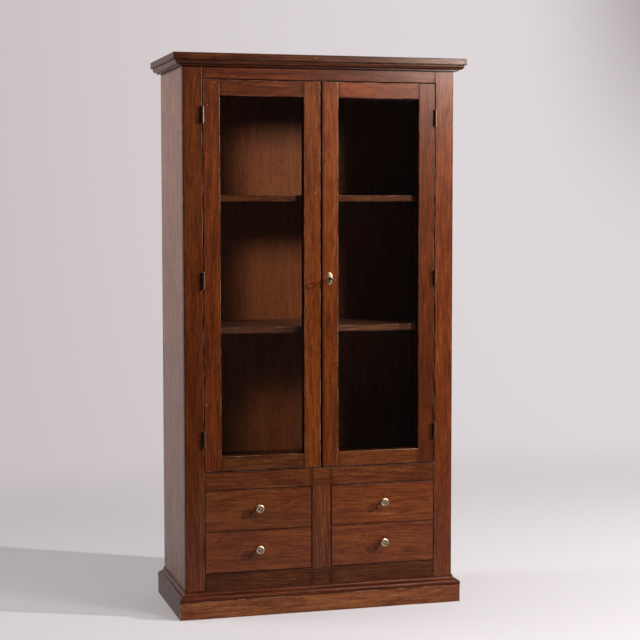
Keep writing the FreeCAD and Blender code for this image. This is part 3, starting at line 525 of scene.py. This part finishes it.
class CabinetLook(PropertyGroup):
    """Stains, lacquer, metal and glass."""
    dark_stain: FloatVectorProperty(
        name="Dark Stain", description="Stain in the deepest grain", subtype="COLOR", size=3, min=0, max=1,
        default=(0.026, 0.0038, 0.0005))
    middle_stain: FloatVectorProperty(
        name="Middle Stain", description="Reddish brown of most of the wood", subtype="COLOR", size=3, min=0,
        max=1, default=(0.064, 0.0105, 0.0014))
    light_stain: FloatVectorProperty(
        name="Light Stain", description="Stain where the wood took less of it", subtype="COLOR", size=3,
        min=0, max=1, default=(0.115, 0.0235, 0.0036))
    bare_stain: FloatVectorProperty(
        name="Bare Stain", description="Palest wood, as on rubbed edges", subtype="COLOR", size=3, min=0,
        max=1, default=(0.210, 0.0620, 0.0160))
    plain_dark: FloatVectorProperty(
        name="Plain Dark", description="Darker bands of the unstained wood", subtype="COLOR", size=3, min=0,
        max=1, default=(0.200, 0.0950, 0.0400))
    plain_light: FloatVectorProperty(
        name="Plain Light", description="Paler bands of the unstained wood", subtype="COLOR", size=3, min=0,
        max=1, default=(0.420, 0.2400, 0.1150))
    pore_darkness: FloatProperty(
        name="Pore Darkness", description="How dark the open pores are", subtype="FACTOR", min=0, max=1,
        default=0.45)
    spot_darkness: FloatProperty(
        name="Spot Darkness", description="How dark the small stain spots are", subtype="FACTOR", min=0,
        max=1, default=0.50)
    # The dark rim along the arrises is partly dirt and partly painted shade in the gaps between parts
    dirt_and_gap_shade_width: FloatProperty(
        name="Grime Width", description="Width of the darkened rim along joints", unit="LENGTH", min=0.0005,
        max=0.05, default=0.006)
    dirt_and_gap_shade_strength: FloatProperty(
        name="Grime Strength", description="How dark that rim is", subtype="FACTOR", min=0, max=1,
        default=0.75)
    smudge_reach: FloatProperty(
        name="Smudge Reach", description="How far dirt spreads along a board from a joint that crosses it",
        unit="LENGTH", min=0.001, max=0.1, default=0.014)
    # Painted shade beside the gap between the doors
    gap_shade_reach: FloatProperty(
        name="Seam Reach", description="Width of the dark strip beside the gap between the doors",
        unit="LENGTH", min=0.0005, max=0.02, default=0.013)
    # The pale arris strip is partly rubbing and partly a painted highlight
    wear_and_highlight_width: FloatProperty(
        name="Worn Width", description="Width of the rubbed strip on the arrises", unit="LENGTH", min=0.0005,
        max=0.02, default=0.003)
    arris_wear_and_highlight: FloatProperty(
        name="Wear", description="How far the arrises are rubbed", subtype="FACTOR", min=0, max=1,
        default=0.60)
    lacquer_roughness: FloatProperty(
        name="Lacquer Roughness", description="Roughness of the satin lacquer", subtype="FACTOR", min=0,
        max=1, default=0.40)
    bright_brass: FloatVectorProperty(
        name="Bright Brass", description="Brass where hands have rubbed it", subtype="COLOR", size=3, min=0,
        max=1, default=(0.60, 0.47, 0.36))
    old_brass: FloatVectorProperty(
        name="Old Brass", description="Brass with a thin brown film", subtype="COLOR", size=3, min=0, max=1,
        default=(0.25, 0.175, 0.115))
    tarnish: FloatVectorProperty(
        name="Tarnish", description="Dark film in hollows", subtype="COLOR", size=3, min=0, max=1,
        default=(0.040, 0.026, 0.015))
    glass_tint: FloatVectorProperty(
        name="Glass Tint", description="Colour that the glass lets through", subtype="COLOR", size=3, min=0,
        max=1, default=(0.95, 0.965, 0.955))


class CabinetFittings(PropertyGroup):
    """Sizes of the knobs, the key and the escutcheon beyond those of the plain pieces."""
    knob_segments: IntProperty(
        name="Knob Segments", description="Facets round a knob", min=24, max=192, default=72)
    plate_dome: FloatProperty(
        name="Plate Dome", description="How far the escutcheon bulges", unit="LENGTH", min=0, max=0.005,
        default=0.0016)
    bow_wire: FloatProperty(
        name="Bow Wire", description="Thickness of the key's ring", unit="LENGTH", min=0.0005, max=0.006,
        default=0.0052)


class CabinetStudio(PropertyGroup):
    """Camera, lights and backdrop."""
    focal_length: FloatProperty(
        name="Focal Length", description="Of the camera, on a 36 mm sensor", unit="CAMERA", min=20, max=200,
        default=90.353)
    camera_place: FloatVectorProperty(
        name="Camera Place", description="Where the camera stands", subtype="XYZ", unit="LENGTH", size=3,
        default=(-1.403, -5.1472, 1.318))
    camera_turn: FloatProperty(
        name="Camera Turn", description="Turn to the right of straight ahead", subtype="ANGLE",
        default=math.radians(15.696))
    camera_tilt: FloatProperty(
        name="Camera Tilt", description="Tilt above level", subtype="ANGLE", default=math.radians(-4.091))
    camera_roll: FloatProperty(
        name="Camera Roll", description="Roll about the line of sight", subtype="ANGLE",
        default=math.radians(0.055))
    key_power: FloatProperty(
        name="Key Power", description="Of the small lamp at the right", unit="POWER", min=0, max=5000,
        default=480)
    broad_power: FloatProperty(
        name="Broad Power", description="Of the broader lamp at the front right", unit="POWER", min=0,
        max=5000, default=42)
    soft_power: FloatProperty(
        name="Soft Power", description="Of the soft box near the top right corner", unit="POWER", min=0,
        max=5000, default=46)
    fill_power: FloatProperty(
        name="Fill Power", description="Of the warm lamp at the upper left", unit="POWER", min=0, max=5000,
        default=22)
    fill_spread: FloatProperty(
        name="Fill Spread", description="How wide that lamp throws its light", subtype="ANGLE", min=0.1,
        max=math.pi, default=math.radians(115))
    ceiling_level: FloatProperty(
        name="Ceiling Level", description="Strength of the light from above", min=0, max=5, default=1.62)
    room_level: FloatProperty(
        name="Room Level", description="Strength of the light from the dark room around", min=0, max=5,
        default=0.04)
    paper_colour: FloatVectorProperty(
        name="Paper Colour", description="Of the floor", subtype="COLOR", size=3, min=0, max=1,
        default=(0.462, 0.456, 0.488))
    bounce: FloatProperty(
        name="Bounce", description="Share of its light that the floor throws back at the cabinet",
        subtype="FACTOR", min=0, max=1, default=0.48)
    wall_bright: FloatVectorProperty(
        name="Wall Bright", description="Of the wall at the right, as it is seen", subtype="COLOR", size=3,
        min=0, max=1, default=(0.735, 0.682, 0.700))
    wall_dim: FloatVectorProperty(
        name="Wall Dim", description="Of the wall at the left, as it is seen", subtype="COLOR", size=3, min=0,
        max=1, default=(0.565, 0.510, 0.512))
    wall_shade: FloatVectorProperty(
        name="Wall Shade", description="Of the wall far up at the right, as it is seen", subtype="COLOR",
        size=3, min=0, max=1, default=(0.310, 0.272, 0.284))


# Pieces of the cabinet

class PieceOperator:
    """What the operators for pieces share. A piece that can't be made raises an error."""
    bl_options = {"REGISTER", "UNDO"}

    def execute(self, context):
        self.make(context.scene.cabinet_look, context.scene.cabinet_fittings)
        return {"FINISHED"}


class CABINET_OT_front_frame(PieceOperator, Operator):
    """Stains the posts, the rails between them and the short post between the drawers"""
    bl_idname = "cabinet.front_frame"
    bl_label = "Front Frame"

    def make(self, look, fittings):
        stain(look, "post_left", "Z", 1.0, shade=0.87, warmth=0.3, contrast=0.85)
        # The right post carries a painted shade towards its foot
        stain(look, "post_right", "Z", 2.3, shade=1.24, warmth=0.2, contrast=0.9, greyness=0.02,
              darker_foot=0.20)
        joints = (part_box("post_left")[1].x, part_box("post_right")[0].x)
        stain(look, "top_rail", "X", 3.1, shade=0.87, rubbed=0.4, joints=joints)
        joints += tuple(corner.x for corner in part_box("drawer_divider"))
        stain(look, "middle_rail", "X", 4.7, shade=0.92, warmth=0.6, contrast=0.95, greyness=0.06,
              rubbed=0.3, joints=joints)
        stain(look, "bottom_rail", "X", 5.9, shade=0.62, warmth=0.7, contrast=1.2, greyness=0.03,
              rubbed=0.2, sheen=0.5, joints=joints)
        stain(look, "drawer_divider", "Z", 6.4, shade=0.84, warmth=0.4, greyness=0.04, rubbed=0.3)


class CABINET_OT_sides(PieceOperator, Operator):
    """Stains the side panels and the back panel, and seals the board between the drawers"""
    bl_idname = "cabinet.sides"
    bl_label = "Sides and Back"

    def make(self, look, fittings):
        # Painted sheen: the left side's high shade and greyness stand for the lacquer's grey reflection at a
        # slant
        stain(look, "side_panel_left", "Z", 7.2, shade=3.20, warmth=0.5, ring_width=14.0, contrast=0.7,
              greyness=0.50)
        stain(look, "side_panel_right", "Z", 8.8, shade=1.60, warmth=0.1, ring_width=14.0, contrast=0.8,
              greyness=0.15)
        stain(look, "back_panel", "Z", 9.5, shade=3.45, warmth=0.6, ring_width=16.0, contrast=0.3,
              greyness=0.12, rubbed=0.1)
        seal(look, "centre_partition", "Y", 10.1, 0.7)


class CABINET_OT_mouldings(PieceOperator, Operator):
    """Stains the cornice and the plinth"""
    bl_idname = "cabinet.mouldings"
    bl_label = "Cornice and Plinth"

    def make(self, look, fittings):
        stain(look, "cornice_board", "X", 11.3, shade=0.54, warmth=0.3)
        stain(look, "cornice_moulding_front", "X", 12.2, shade=0.52, warmth=0.1)
        stain(look, "plinth_board_front", "X", 13.6, shade=1.78, warmth=0.9, contrast=0.85, greyness=0.14,
              sheen=0.7)
        stain(look, "plinth_moulding_front", "X", 14.9, shade=0.66, sheen=0.5)
        # Painted sheen: the end pieces are lightened and greyed for the lacquer's grey reflection at a slant
        shades = {"cornice_moulding_": 1.60, "plinth_board_": 1.15, "plinth_moulding_": 1.10}
        for seed, side in ((15.7, "left"), (16.7, "right")):
            for name, shade in shades.items():
                stain(look, name + side, "Y", seed, shade=shade, warmth=0.2, greyness=0.32)


class CABINET_OT_shelves(PieceOperator, Operator):
    """Stains the shelves, what carries them, the display floor and the door stop"""
    bl_idname = "cabinet.shelves"
    bl_label = "Shelves and Floor"

    def make(self, look, fittings):
        stain(look, "shelf_lower", "X", 17.3, shade=2.00, warmth=0.4, greyness=0.28)
        stain(look, "shelf_upper", "X", 18.1, shade=1.50, warmth=0.5, greyness=0.10)
        stain(look, "display_floor", "X", 19.4, shade=0.80)
        stain(look, "door_stop", "X", 20.6, shade=0.70)
        stain(look, "shelf_battens", "Y", 21.2, shade=0.75)


class CABINET_OT_doors(PieceOperator, Operator):
    """Stains the doors' stiles, rails and glazing beads"""
    bl_idname = "cabinet.doors"
    bl_label = "Doors"

    def make(self, look, fittings):
        # Seed, shade and warmth
        tones = {
            "left_door_hinge_stile": (22.5, 0.98, 0.1),
            "left_door_meeting_stile": (23.9, 1.20, 0.5),
            "left_door_top_rail": (24.2, 0.76, 0.1),
            "left_door_bottom_rail": (25.8, 0.76, 1.0),
            "right_door_meeting_stile": (26.1, 1.54, 0.5),
            "right_door_hinge_stile": (27.7, 0.94, 0.1),
            "right_door_top_rail": (28.4, 1.22, 0.0),
            "right_door_bottom_rail": (29.2, 1.18, 0.8),
        }
        for node, (seed, shade, warmth) in tones.items():
            side = node.split("_")[0]
            finish = {"shade": shade, "warmth": warmth, "contrast": 0.9}
            if node.endswith("rail"):
                stiles = [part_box(side + "_door_" + name) for name in ("hinge_stile", "meeting_stile")]
                finish["joints"] = (min(high.x for low, high in stiles), max(low.x for low, high in stiles))
            elif side == "right":
                # Painted shade: the right door's stiles darken towards their feet
                finish["darker_foot"] = 0.40
            if node.endswith("bottom_rail"):
                finish["greyness"] = 0.07
            # Painted shade beside the gap between the doors, along this stile's left edge
            if node == "right_door_meeting_stile":
                finish["seam"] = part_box(node)[0].x
            stain(look, node, "X" if node.endswith("rail") else "Z", seed, **finish)
        for seed, side in ((30.3, "left"), (31.3, "right")):
            stain(look, side + "_door_glazing_beads", "Z", seed, shade=0.75)


class CABINET_OT_glass(PieceOperator, Operator):
    """Glazes both doors"""
    bl_idname = "cabinet.glass"
    bl_label = "Glass"

    def make(self, look, fittings):
        for side in ("left", "right"):
            paint(side + "_door_glass", glass(look, side + "_door_pane"))


class CABINET_OT_drawers(PieceOperator, Operator):
    """Stains the drawer fronts and seals their boxes and runners"""
    bl_idname = "cabinet.drawers"
    bl_label = "Drawers"

    def make(self, look, fittings):
        # Seed, shade and warmth
        tones = {"drawer_upper_left": (32.4, 1.06, 0.6), "drawer_upper_right": (33.6, 1.31, 0.5),
                 "drawer_lower_left": (34.1, 1.20, 0.4), "drawer_lower_right": (35.8, 1.20, 0.4)}
        for drawer, (seed, shade, warmth) in tones.items():
            stain(look, drawer + "_front", "X", seed, shade=shade, warmth=warmth, ring_width=12.0,
                  contrast=0.80, greyness=0.045, rubbed=0.15)
            seal(look, drawer + "_box", "Y", seed)
        seal(look, "drawer_runners", "Y", 36.9, 0.85)


class CABINET_OT_hinges(PieceOperator, Operator):
    """Ages the hinges, their pins and the catches"""
    bl_idname = "cabinet.hinges"
    bl_label = "Hinges and Catches"

    def make(self, look, fittings):
        leaves = brass(look, "hinge_brass", 0.14)
        for node in ("post_hinge_leaves", "left_door_hinge_leaves", "right_door_hinge_leaves"):
            paint(node, leaves)
        paint("hinge_pins", brass(look, "pin_brass", 0.22))
        paint("ball_catches", brass(look, "catch_brass", 0.9))


class CABINET_OT_knobs(PieceOperator, Operator):
    """Turns the drawer knobs, each with its screw"""
    bl_idname = "cabinet.knobs"
    bl_label = "Drawer Knobs"

    def make(self, look, fittings):
        material = brass(look, "knob_brass", turned=True)
        screw_radius = 4.5
        # Radius, distance out from the drawer's face, and how rubbed that ring is
        turning = [
            (0.0, 0.0, 0.1), (7.6, 0.0, 0.1), (8.0, 0.5, 0.25), (8.0, 1.2, 0.5), (7.0, 1.9, 0.3),
            (5.4, 2.5, 0.1), (4.7, 4.2, 0.15), (4.3, 7.0, 0.25), (4.3, 9.4, 0.25), (4.9, 11.6, 0.15),
            (6.4, 13.1, 0.1), (8.6, 14.2, 0.25), (11.6, 14.9, 0.4), (13.9, 16.0, 0.6), (14.5, 17.4, 0.9),
            (14.5, 18.9, 1.0), (13.7, 21.2, 1.0), (12.0, 22.6, 1.0), (10.2, 23.0, 0.9), (8.9, 22.8, 0.7),
            (8.0, 22.3, 0.45), (6.6, 22.1, 0.4), (5.0, 22.1, 0.4), (4.0, 22.2, 0.45), (3.2, 22.5, 0.5),
            (1.8, 22.7, 0.55), (0.0, 22.8, 0.55),
        ]
        for row in ("upper", "lower"):
            for side in ("left", "right"):
                drawer = "drawer_%s_%s" % (row, side)
                low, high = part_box(drawer + "_knob")
                centre = Vector(((low.x + high.x) / 2, FACE, (low.z + high.z) / 2))
                shape = new_shape()
                add_turning(shape, turning, centre, OUTWARDS, fittings.knob_segments)
                board_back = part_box(drawer + "_front")[1].y
                head = (high.y - board_back) / MM
                seat = Vector((centre.x, board_back, centre.z))
                add_slotted_head(shape, seat, INWARDS, screw_radius, head)
                finished_piece(drawer + "_turned_knob", shape, material, drawer, "aged_brass",
                               drawer + "_knob")


class CABINET_OT_escutcheon(PieceOperator, Operator):
    """Makes the domed oval plate round the keyhole, with its rim and pins"""
    bl_idname = "cabinet.escutcheon"
    bl_label = "Escutcheon"

    def make(self, look, fittings):
        half_width = (PLATE_HIGH.x - PLATE_LOW.x) / 2
        half_height = (PLATE_HIGH.z - PLATE_LOW.z) / 2
        edge_height = 0.5 * MM
        hole_radius = 3.2 * MM
        slot_half = 1.7 * MM
        slot_reach = 12.0 * MM
        lip = 0.3 * MM
        pin_inset = 4.5 * MM
        full = edge_height + fittings.plate_dome
        dome_from, dome_to, dome_power = 0.04, 0.94, 1.8
        steps, dome_steps, pin_segments = 96, 12, 24

        def outer(angle):
            return Vector((half_width * math.cos(angle), half_height * math.sin(angle)))

        def inner(angle):
            """The keyhole's outline, seen from its middle."""
            across, up = math.cos(angle), math.sin(angle)
            if up < 0 and abs(across) * slot_reach < -up * slot_half:
                return Vector((across, up)) * (slot_reach / -up)
            if up < 0 and abs(across) * math.sqrt(hole_radius ** 2 - slot_half ** 2) < -up * slot_half:
                return Vector((across, up)) * (slot_half / abs(across))
            return Vector((across, up)) * hole_radius

        # Share of the way from the keyhole to the edge, height above the door, and how rubbed
        levels = [(0.0, 0.0, 0.0), (0.0, full - lip, 0.2), (dome_from, full, 0.7)]
        for step in range(1, dome_steps + 1):
            share = step / dome_steps
            height = full - (full - edge_height) * share ** dome_power
            levels.append((dome_from + (dome_to - dome_from) * share, height, 0.70 - 0.15 * share))
        levels += [(0.98, 0.7 * edge_height, 0.5), (1.0, 0.4 * edge_height, 0.3), (1.0, 0.0, 0.1)]
        shape = new_shape()
        rings = []
        for share, height, polish in levels:
            ring = []
            for index in range(steps):
                angle = 2 * math.pi * (index + 0.5) / steps
                flat = inner(angle).lerp(outer(angle), share)
                place = (LOCK_AXIS.x + flat.x, FACE - height, LOCK_AXIS.z + flat.y)
                ring.append(add_point(shape, place, polish))
            rings.append(ring)
        bridge(shape, rings)

        # Radius, height above the plate's edge, and how rubbed
        pin_head = [(1.9, 0.0, 0.2), (1.9, 0.6, 0.6), (1.5, 1.5, 0.9), (0.8, 1.9, 1.0), (0.0, 2.0, 1.0)]
        for side in (-1, 1):
            foot = Vector((LOCK_AXIS.x, FACE - edge_height, LOCK_AXIS.z + side * (half_height - pin_inset)))
            add_turning(shape, pin_head, foot, OUTWARDS, pin_segments)
        finished_piece("keyhole_plate", shape, brass(look, "plate_brass", turned=True), "right_door",
                       "aged_brass", "right_door_escutcheon")


class CABINET_OT_key(PieceOperator, Operator):
    """Makes the key: a ring on a turned stem, with its bit"""
    bl_idname = "cabinet.key"
    bl_label = "Key"

    def make(self, look, fittings):
        ring_stand = 30 * MM
        tilt = Matrix.Rotation(math.radians(30), 3, "Y")
        wire = fittings.bow_wire / 2
        outer = FACE - KEY_LOW.y - ring_stand
        bow = outer - wire
        ring_middle = Vector((LOCK_AXIS.x, KEY_LOW.y + outer, LOCK_AXIS.z))
        around, section, stem_segments = 72, 20, 32
        shape = new_shape()
        loops = []
        for index in range(around):
            angle = 2 * math.pi * index / around
            loop = []
            for step in range(section):
                turn = 2 * math.pi * step / section
                reach = bow + wire * math.cos(turn)
                local = Vector((reach * math.cos(angle), reach * math.sin(angle), wire * math.sin(turn)))
                loop.append(add_point(shape, ring_middle + tilt @ local))
            loops.append(loop)
        bridge(shape, loops + loops[:1])

        # Radius and distance in from the middle of the ring's wire. The key's brass is evenly polished
        collars = [
            (0.0, -0.6), (2.2, -0.4), (2.6, 1.0), (2.2, 2.2), (2.4, 3.4), (3.8, 3.9), (3.8, 5.0), (2.7, 5.4),
            (2.7, 5.9), (3.3, 6.3), (3.3, 7.0), (2.5, 7.5),
        ]
        stem = [(radius, bow / MM + inwards, 0.0) for radius, inwards in collars]
        length = (KEY_HIGH.y - ring_middle.y) / MM
        stem += [(2.5, length - 0.6, 0.0), (2.1, length, 0.0), (0.0, length, 0.0)]
        add_turning(shape, stem, ring_middle, INWARDS, stem_segments, rounds=1)

        # The bit's outline with its ward cut: distance from the stem's axis, and back from the inner end
        bit_root, bit_tip, ward_floor = 1.5, 10.0, 7.4
        bit_back, ward_back, ward_front = 4.0, 2.6, 1.6
        bit = [(bit_root, bit_back), (bit_tip, bit_back), (bit_tip, ward_back), (ward_floor, ward_back),
               (ward_floor, ward_front), (bit_tip, ward_front), (bit_tip, 0.0), (bit_root, 0.0)]
        bit_end, bit_half = length - 0.5, 1.2
        sides = []
        for level in (-bit_half, bit_half):
            side = []
            for reach, back in bit:
                local = tilt @ Vector((reach, bit_end - back, level)) * MM
                side.append(add_point(shape, ring_middle + local))
            shape.faces.new(side)
            sides.append(side)
        bridge(shape, sides)
        finished_piece("turned_key", shape, brass(look, "key_brass", 0.28), "key", "aged_brass", "door_key")


class CABINET_OT_lock(PieceOperator, Operator):
    """Ages the lock case, its bolt and the keeper"""
    bl_idname = "cabinet.lock"
    bl_label = "Lock and Keeper"

    def make(self, look, fittings):
        polishes = {"right_door_lock_case": 0.7, "left_door_lock_keeper": 0.7, "lock_bolt": 0.9}
        for node, polish in polishes.items():
            paint(node, brass(look, node + "_brass", polish))


# Studio

class CABINET_OT_stage(Operator):
    """Sets up the backdrop, the lamps and the camera"""
    bl_idname = "cabinet.stage"
    bl_label = "Studio"
    bl_options = {"REGISTER", "UNDO"}

    def execute(self, context):
        studio = context.scene.cabinet_studio
        self.make_backdrop(studio)
        self.make_world(studio)
        self.make_lamps(studio)
        self.make_camera(context, studio)
        context.scene.view_settings.view_transform = "Standard"
        return {"FINISHED"}

    def make_backdrop(self, studio):
        """One sheet: a floor that curves up into a wall behind."""
        front_edge, wall_place, half_width, wall_top = -1.8, 6.4, 13.0, 9.0
        bend, bend_steps = 3.4, 16
        line = [(front_edge, 0.0)]
        for step in range(bend_steps + 1):
            angle = math.pi / 2 * step / bend_steps
            line.append((wall_place - bend + bend * math.sin(angle), bend - bend * math.cos(angle)))
        line.append((wall_place, wall_top))
        mesh = bpy.data.meshes.new("backdrop")
        points = [(side * half_width, y, z) for y, z in line for side in (-1, 1)]
        faces = [(2 * i, 2 * i + 1, 2 * i + 3, 2 * i + 2) for i in range(len(line) - 1)]
        mesh.from_pydata(points, [], faces)
        mesh.shade_smooth()
        mesh.materials.append(self.backdrop_paper(studio))
        backdrop = bpy.data.objects.new("backdrop", mesh)
        bpy.context.scene.collection.objects.link(backdrop)

    def backdrop_paper(self, studio):
        """Paper that is seen in the tones of a lit wall, but throws back only the light that falls on it."""
        dim_side, bright_side = -1.85, 3.15
        corner_start, corner_end = 3.27, 5.09
        corner_foot, corner_top = 0.615, 3.23
        fade_start, fade_end, floor_glow_share = 1.0, 3.2, 0.25
        material, tree = new_material("backdrop_paper")
        point = tree.place()
        parts = tree.add("ShaderNodeSeparateXYZ", {}, {0: point})
        rough = 0.86 + tree.noise(point, 3.0, 2.0) * 0.08
        path = tree.add("ShaderNodeLightPath")
        seen = tree.math("MAXIMUM", path.out("Is Camera Ray"), path.out("Is Glossy Ray"))
        seen = tree.math("MAXIMUM", seen, path.out("Is Transmission Ray"))
        sheet = tree.mixed(seen, shaded(studio.paper_colour, studio.bounce), studio.paper_colour)
        paper = tree.add("ShaderNodeBsdfPrincipled", {}, {"Base Color": sheet, "Roughness": rough,
                                                          "Specular IOR Level": 0.15})
        tone = tree.mixed(tree.between(parts, dim_side, bright_side), studio.wall_dim, studio.wall_bright)
        far_corner = tree.between(parts, corner_start, corner_end)
        far_corner = far_corner * tree.between(parts.out("Z"), corner_foot, corner_top)
        wall = tree.add("ShaderNodeEmission", {}, {
            "Color": tree.mixed(far_corner, tone, studio.wall_shade), "Strength": 1.0})
        # Painted light: the near floor glows a quarter in the wall's tones for the camera, which lightens the
        # cabinet's shadow on it; farther back the glow takes over
        share = floor_glow_share + tree.between(parts.out("Y"), fade_start, fade_end) * (1.0 - floor_glow_share)
        tree.finish(tree.add("ShaderNodeMixShader", {}, {0: share * seen, 1: paper, 2: wall}))
        return material

    def make_world(self, studio):
        """A soft ceiling over a dark room. The camera sees a plain pale tone beyond the paper."""
        ceiling_start, ceiling_full = 0.6, 1.0
        world = bpy.data.worlds.new("studio")
        bpy.context.scene.world = world
        tree = Tree(world)
        upwards = tree.add("ShaderNodeSeparateXYZ", {}, {0: tree.add("ShaderNodeTexCoord")}).out("Z")
        ceiling = tree.between(upwards, ceiling_start, ceiling_full)
        level = studio.room_level + ceiling * (studio.ceiling_level - studio.room_level)
        sky = tree.add("ShaderNodeBackground", {}, {"Color": (1.0, 0.975, 0.97), "Strength": level})
        plain = tree.add("ShaderNodeBackground", {}, {"Color": studio.wall_bright})
        path = tree.add("ShaderNodeLightPath")
        tree.finish(tree.add("ShaderNodeMixShader", {}, {0: path, 1: sky, 2: plain}), "ShaderNodeOutputWorld")

    def make_lamps(self, studio):
        front_middle = Vector((0.0, FACE, 0.9))
        upper_corner = Vector((0.42, FACE, 1.7))
        upper_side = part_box("side_panel_left")[0] + Vector((0.0, 0.2, 1.4))
        # Name, what it is aimed at, the way from there to the lamp, distance, diameter, power and colour
        lamps = (
            ("small_lamp", front_middle, (2.0, -1.0, 0.8), 5.5, 0.09, studio.key_power, (1.0, 0.96, 0.91)),
            ("broad_lamp", front_middle, (0.65, -1.0, 0.52), 7.0, 1.6, studio.broad_power,
             (1.0, 0.95, 0.90)),
            ("soft_box", upper_corner, (0.741, -1.525, 0.444), 1.75, 0.55, studio.soft_power,
             (1.0, 0.90, 0.80)),
            ("fill_lamp", upper_side, (-1.0, 0.25, 0.5), 2.4, 1.0, studio.fill_power, (1.0, 0.94, 0.86)),
        )
        for name, aim, direction, distance, size, power, colour in lamps:
            offset = Vector(direction).normalized() * distance
            data = bpy.data.lights.new(name, "AREA")
            data.shape = "DISK"
            data.size = size
            data.energy = power
            data.color = colour
            if name == "fill_lamp":
                data.spread = studio.fill_spread
            lamp = bpy.data.objects.new(name, data)
            lamp.location = aim + offset
            lamp.visible_camera = False
            lamp.rotation_euler = (-offset).to_track_quat("-Z", "Y").to_euler()
            bpy.context.scene.collection.objects.link(lamp)

    def make_camera(self, context, studio):
        data = bpy.data.cameras.new("camera")
        data.lens = studio.focal_length
        data.sensor_width = 36.0
        camera = bpy.data.objects.new("camera", data)
        turn = (Matrix.Rotation(-studio.camera_turn, 4, "Z")
                @ Matrix.Rotation(math.pi / 2 + studio.camera_tilt, 4, "X")
                @ Matrix.Rotation(-studio.camera_roll, 4, "Z"))
        camera.matrix_world = Matrix.Translation(studio.camera_place) @ turn
        context.scene.collection.objects.link(camera)
        context.scene.camera = camera


class CABINET_PT_panel(Panel):
    """Lists the cabinet's pieces in the order in which they are made"""
    bl_label = "Display Cabinet"
    bl_idname = "CABINET_PT_panel"
    bl_space_type = "VIEW_3D"
    bl_region_type = "UI"
    bl_category = "Cabinet"

    def draw(self, context):
        for operator in OPERATORS:
            self.layout.operator(operator.bl_idname)
        for group in GROUPS:
            settings = getattr(context.scene, group)
            box = self.layout.box()
            for name in settings.__annotations__:
                box.prop(settings, name)


OPERATORS = (
    CABINET_OT_stage, CABINET_OT_front_frame, CABINET_OT_sides, CABINET_OT_mouldings, CABINET_OT_shelves,
    CABINET_OT_doors, CABINET_OT_glass, CABINET_OT_drawers, CABINET_OT_hinges, CABINET_OT_knobs,
    CABINET_OT_escutcheon, CABINET_OT_key, CABINET_OT_lock,
)
GROUPS = {"cabinet_look": CabinetLook, "cabinet_fittings": CabinetFittings, "cabinet_studio": CabinetStudio}


def register():
    for name, group in GROUPS.items():
        bpy.utils.register_class(group)
        setattr(bpy.types.Scene, name, PointerProperty(type=group))
    for operator in OPERATORS:
        bpy.utils.register_class(operator)
    bpy.utils.register_class(CABINET_PT_panel)


def unregister():
    bpy.utils.unregister_class(CABINET_PT_panel)
    for operator in reversed(OPERATORS):
        bpy.utils.unregister_class(operator)
    for name, group in GROUPS.items():
        delattr(bpy.types.Scene, name)
        bpy.utils.unregister_class(group)


def main():
    register()
    for operator in OPERATORS:
        group, name = operator.bl_idname.split(".")
        getattr(getattr(bpy.ops, group), name)()


if __name__ == "__main__":
    main()
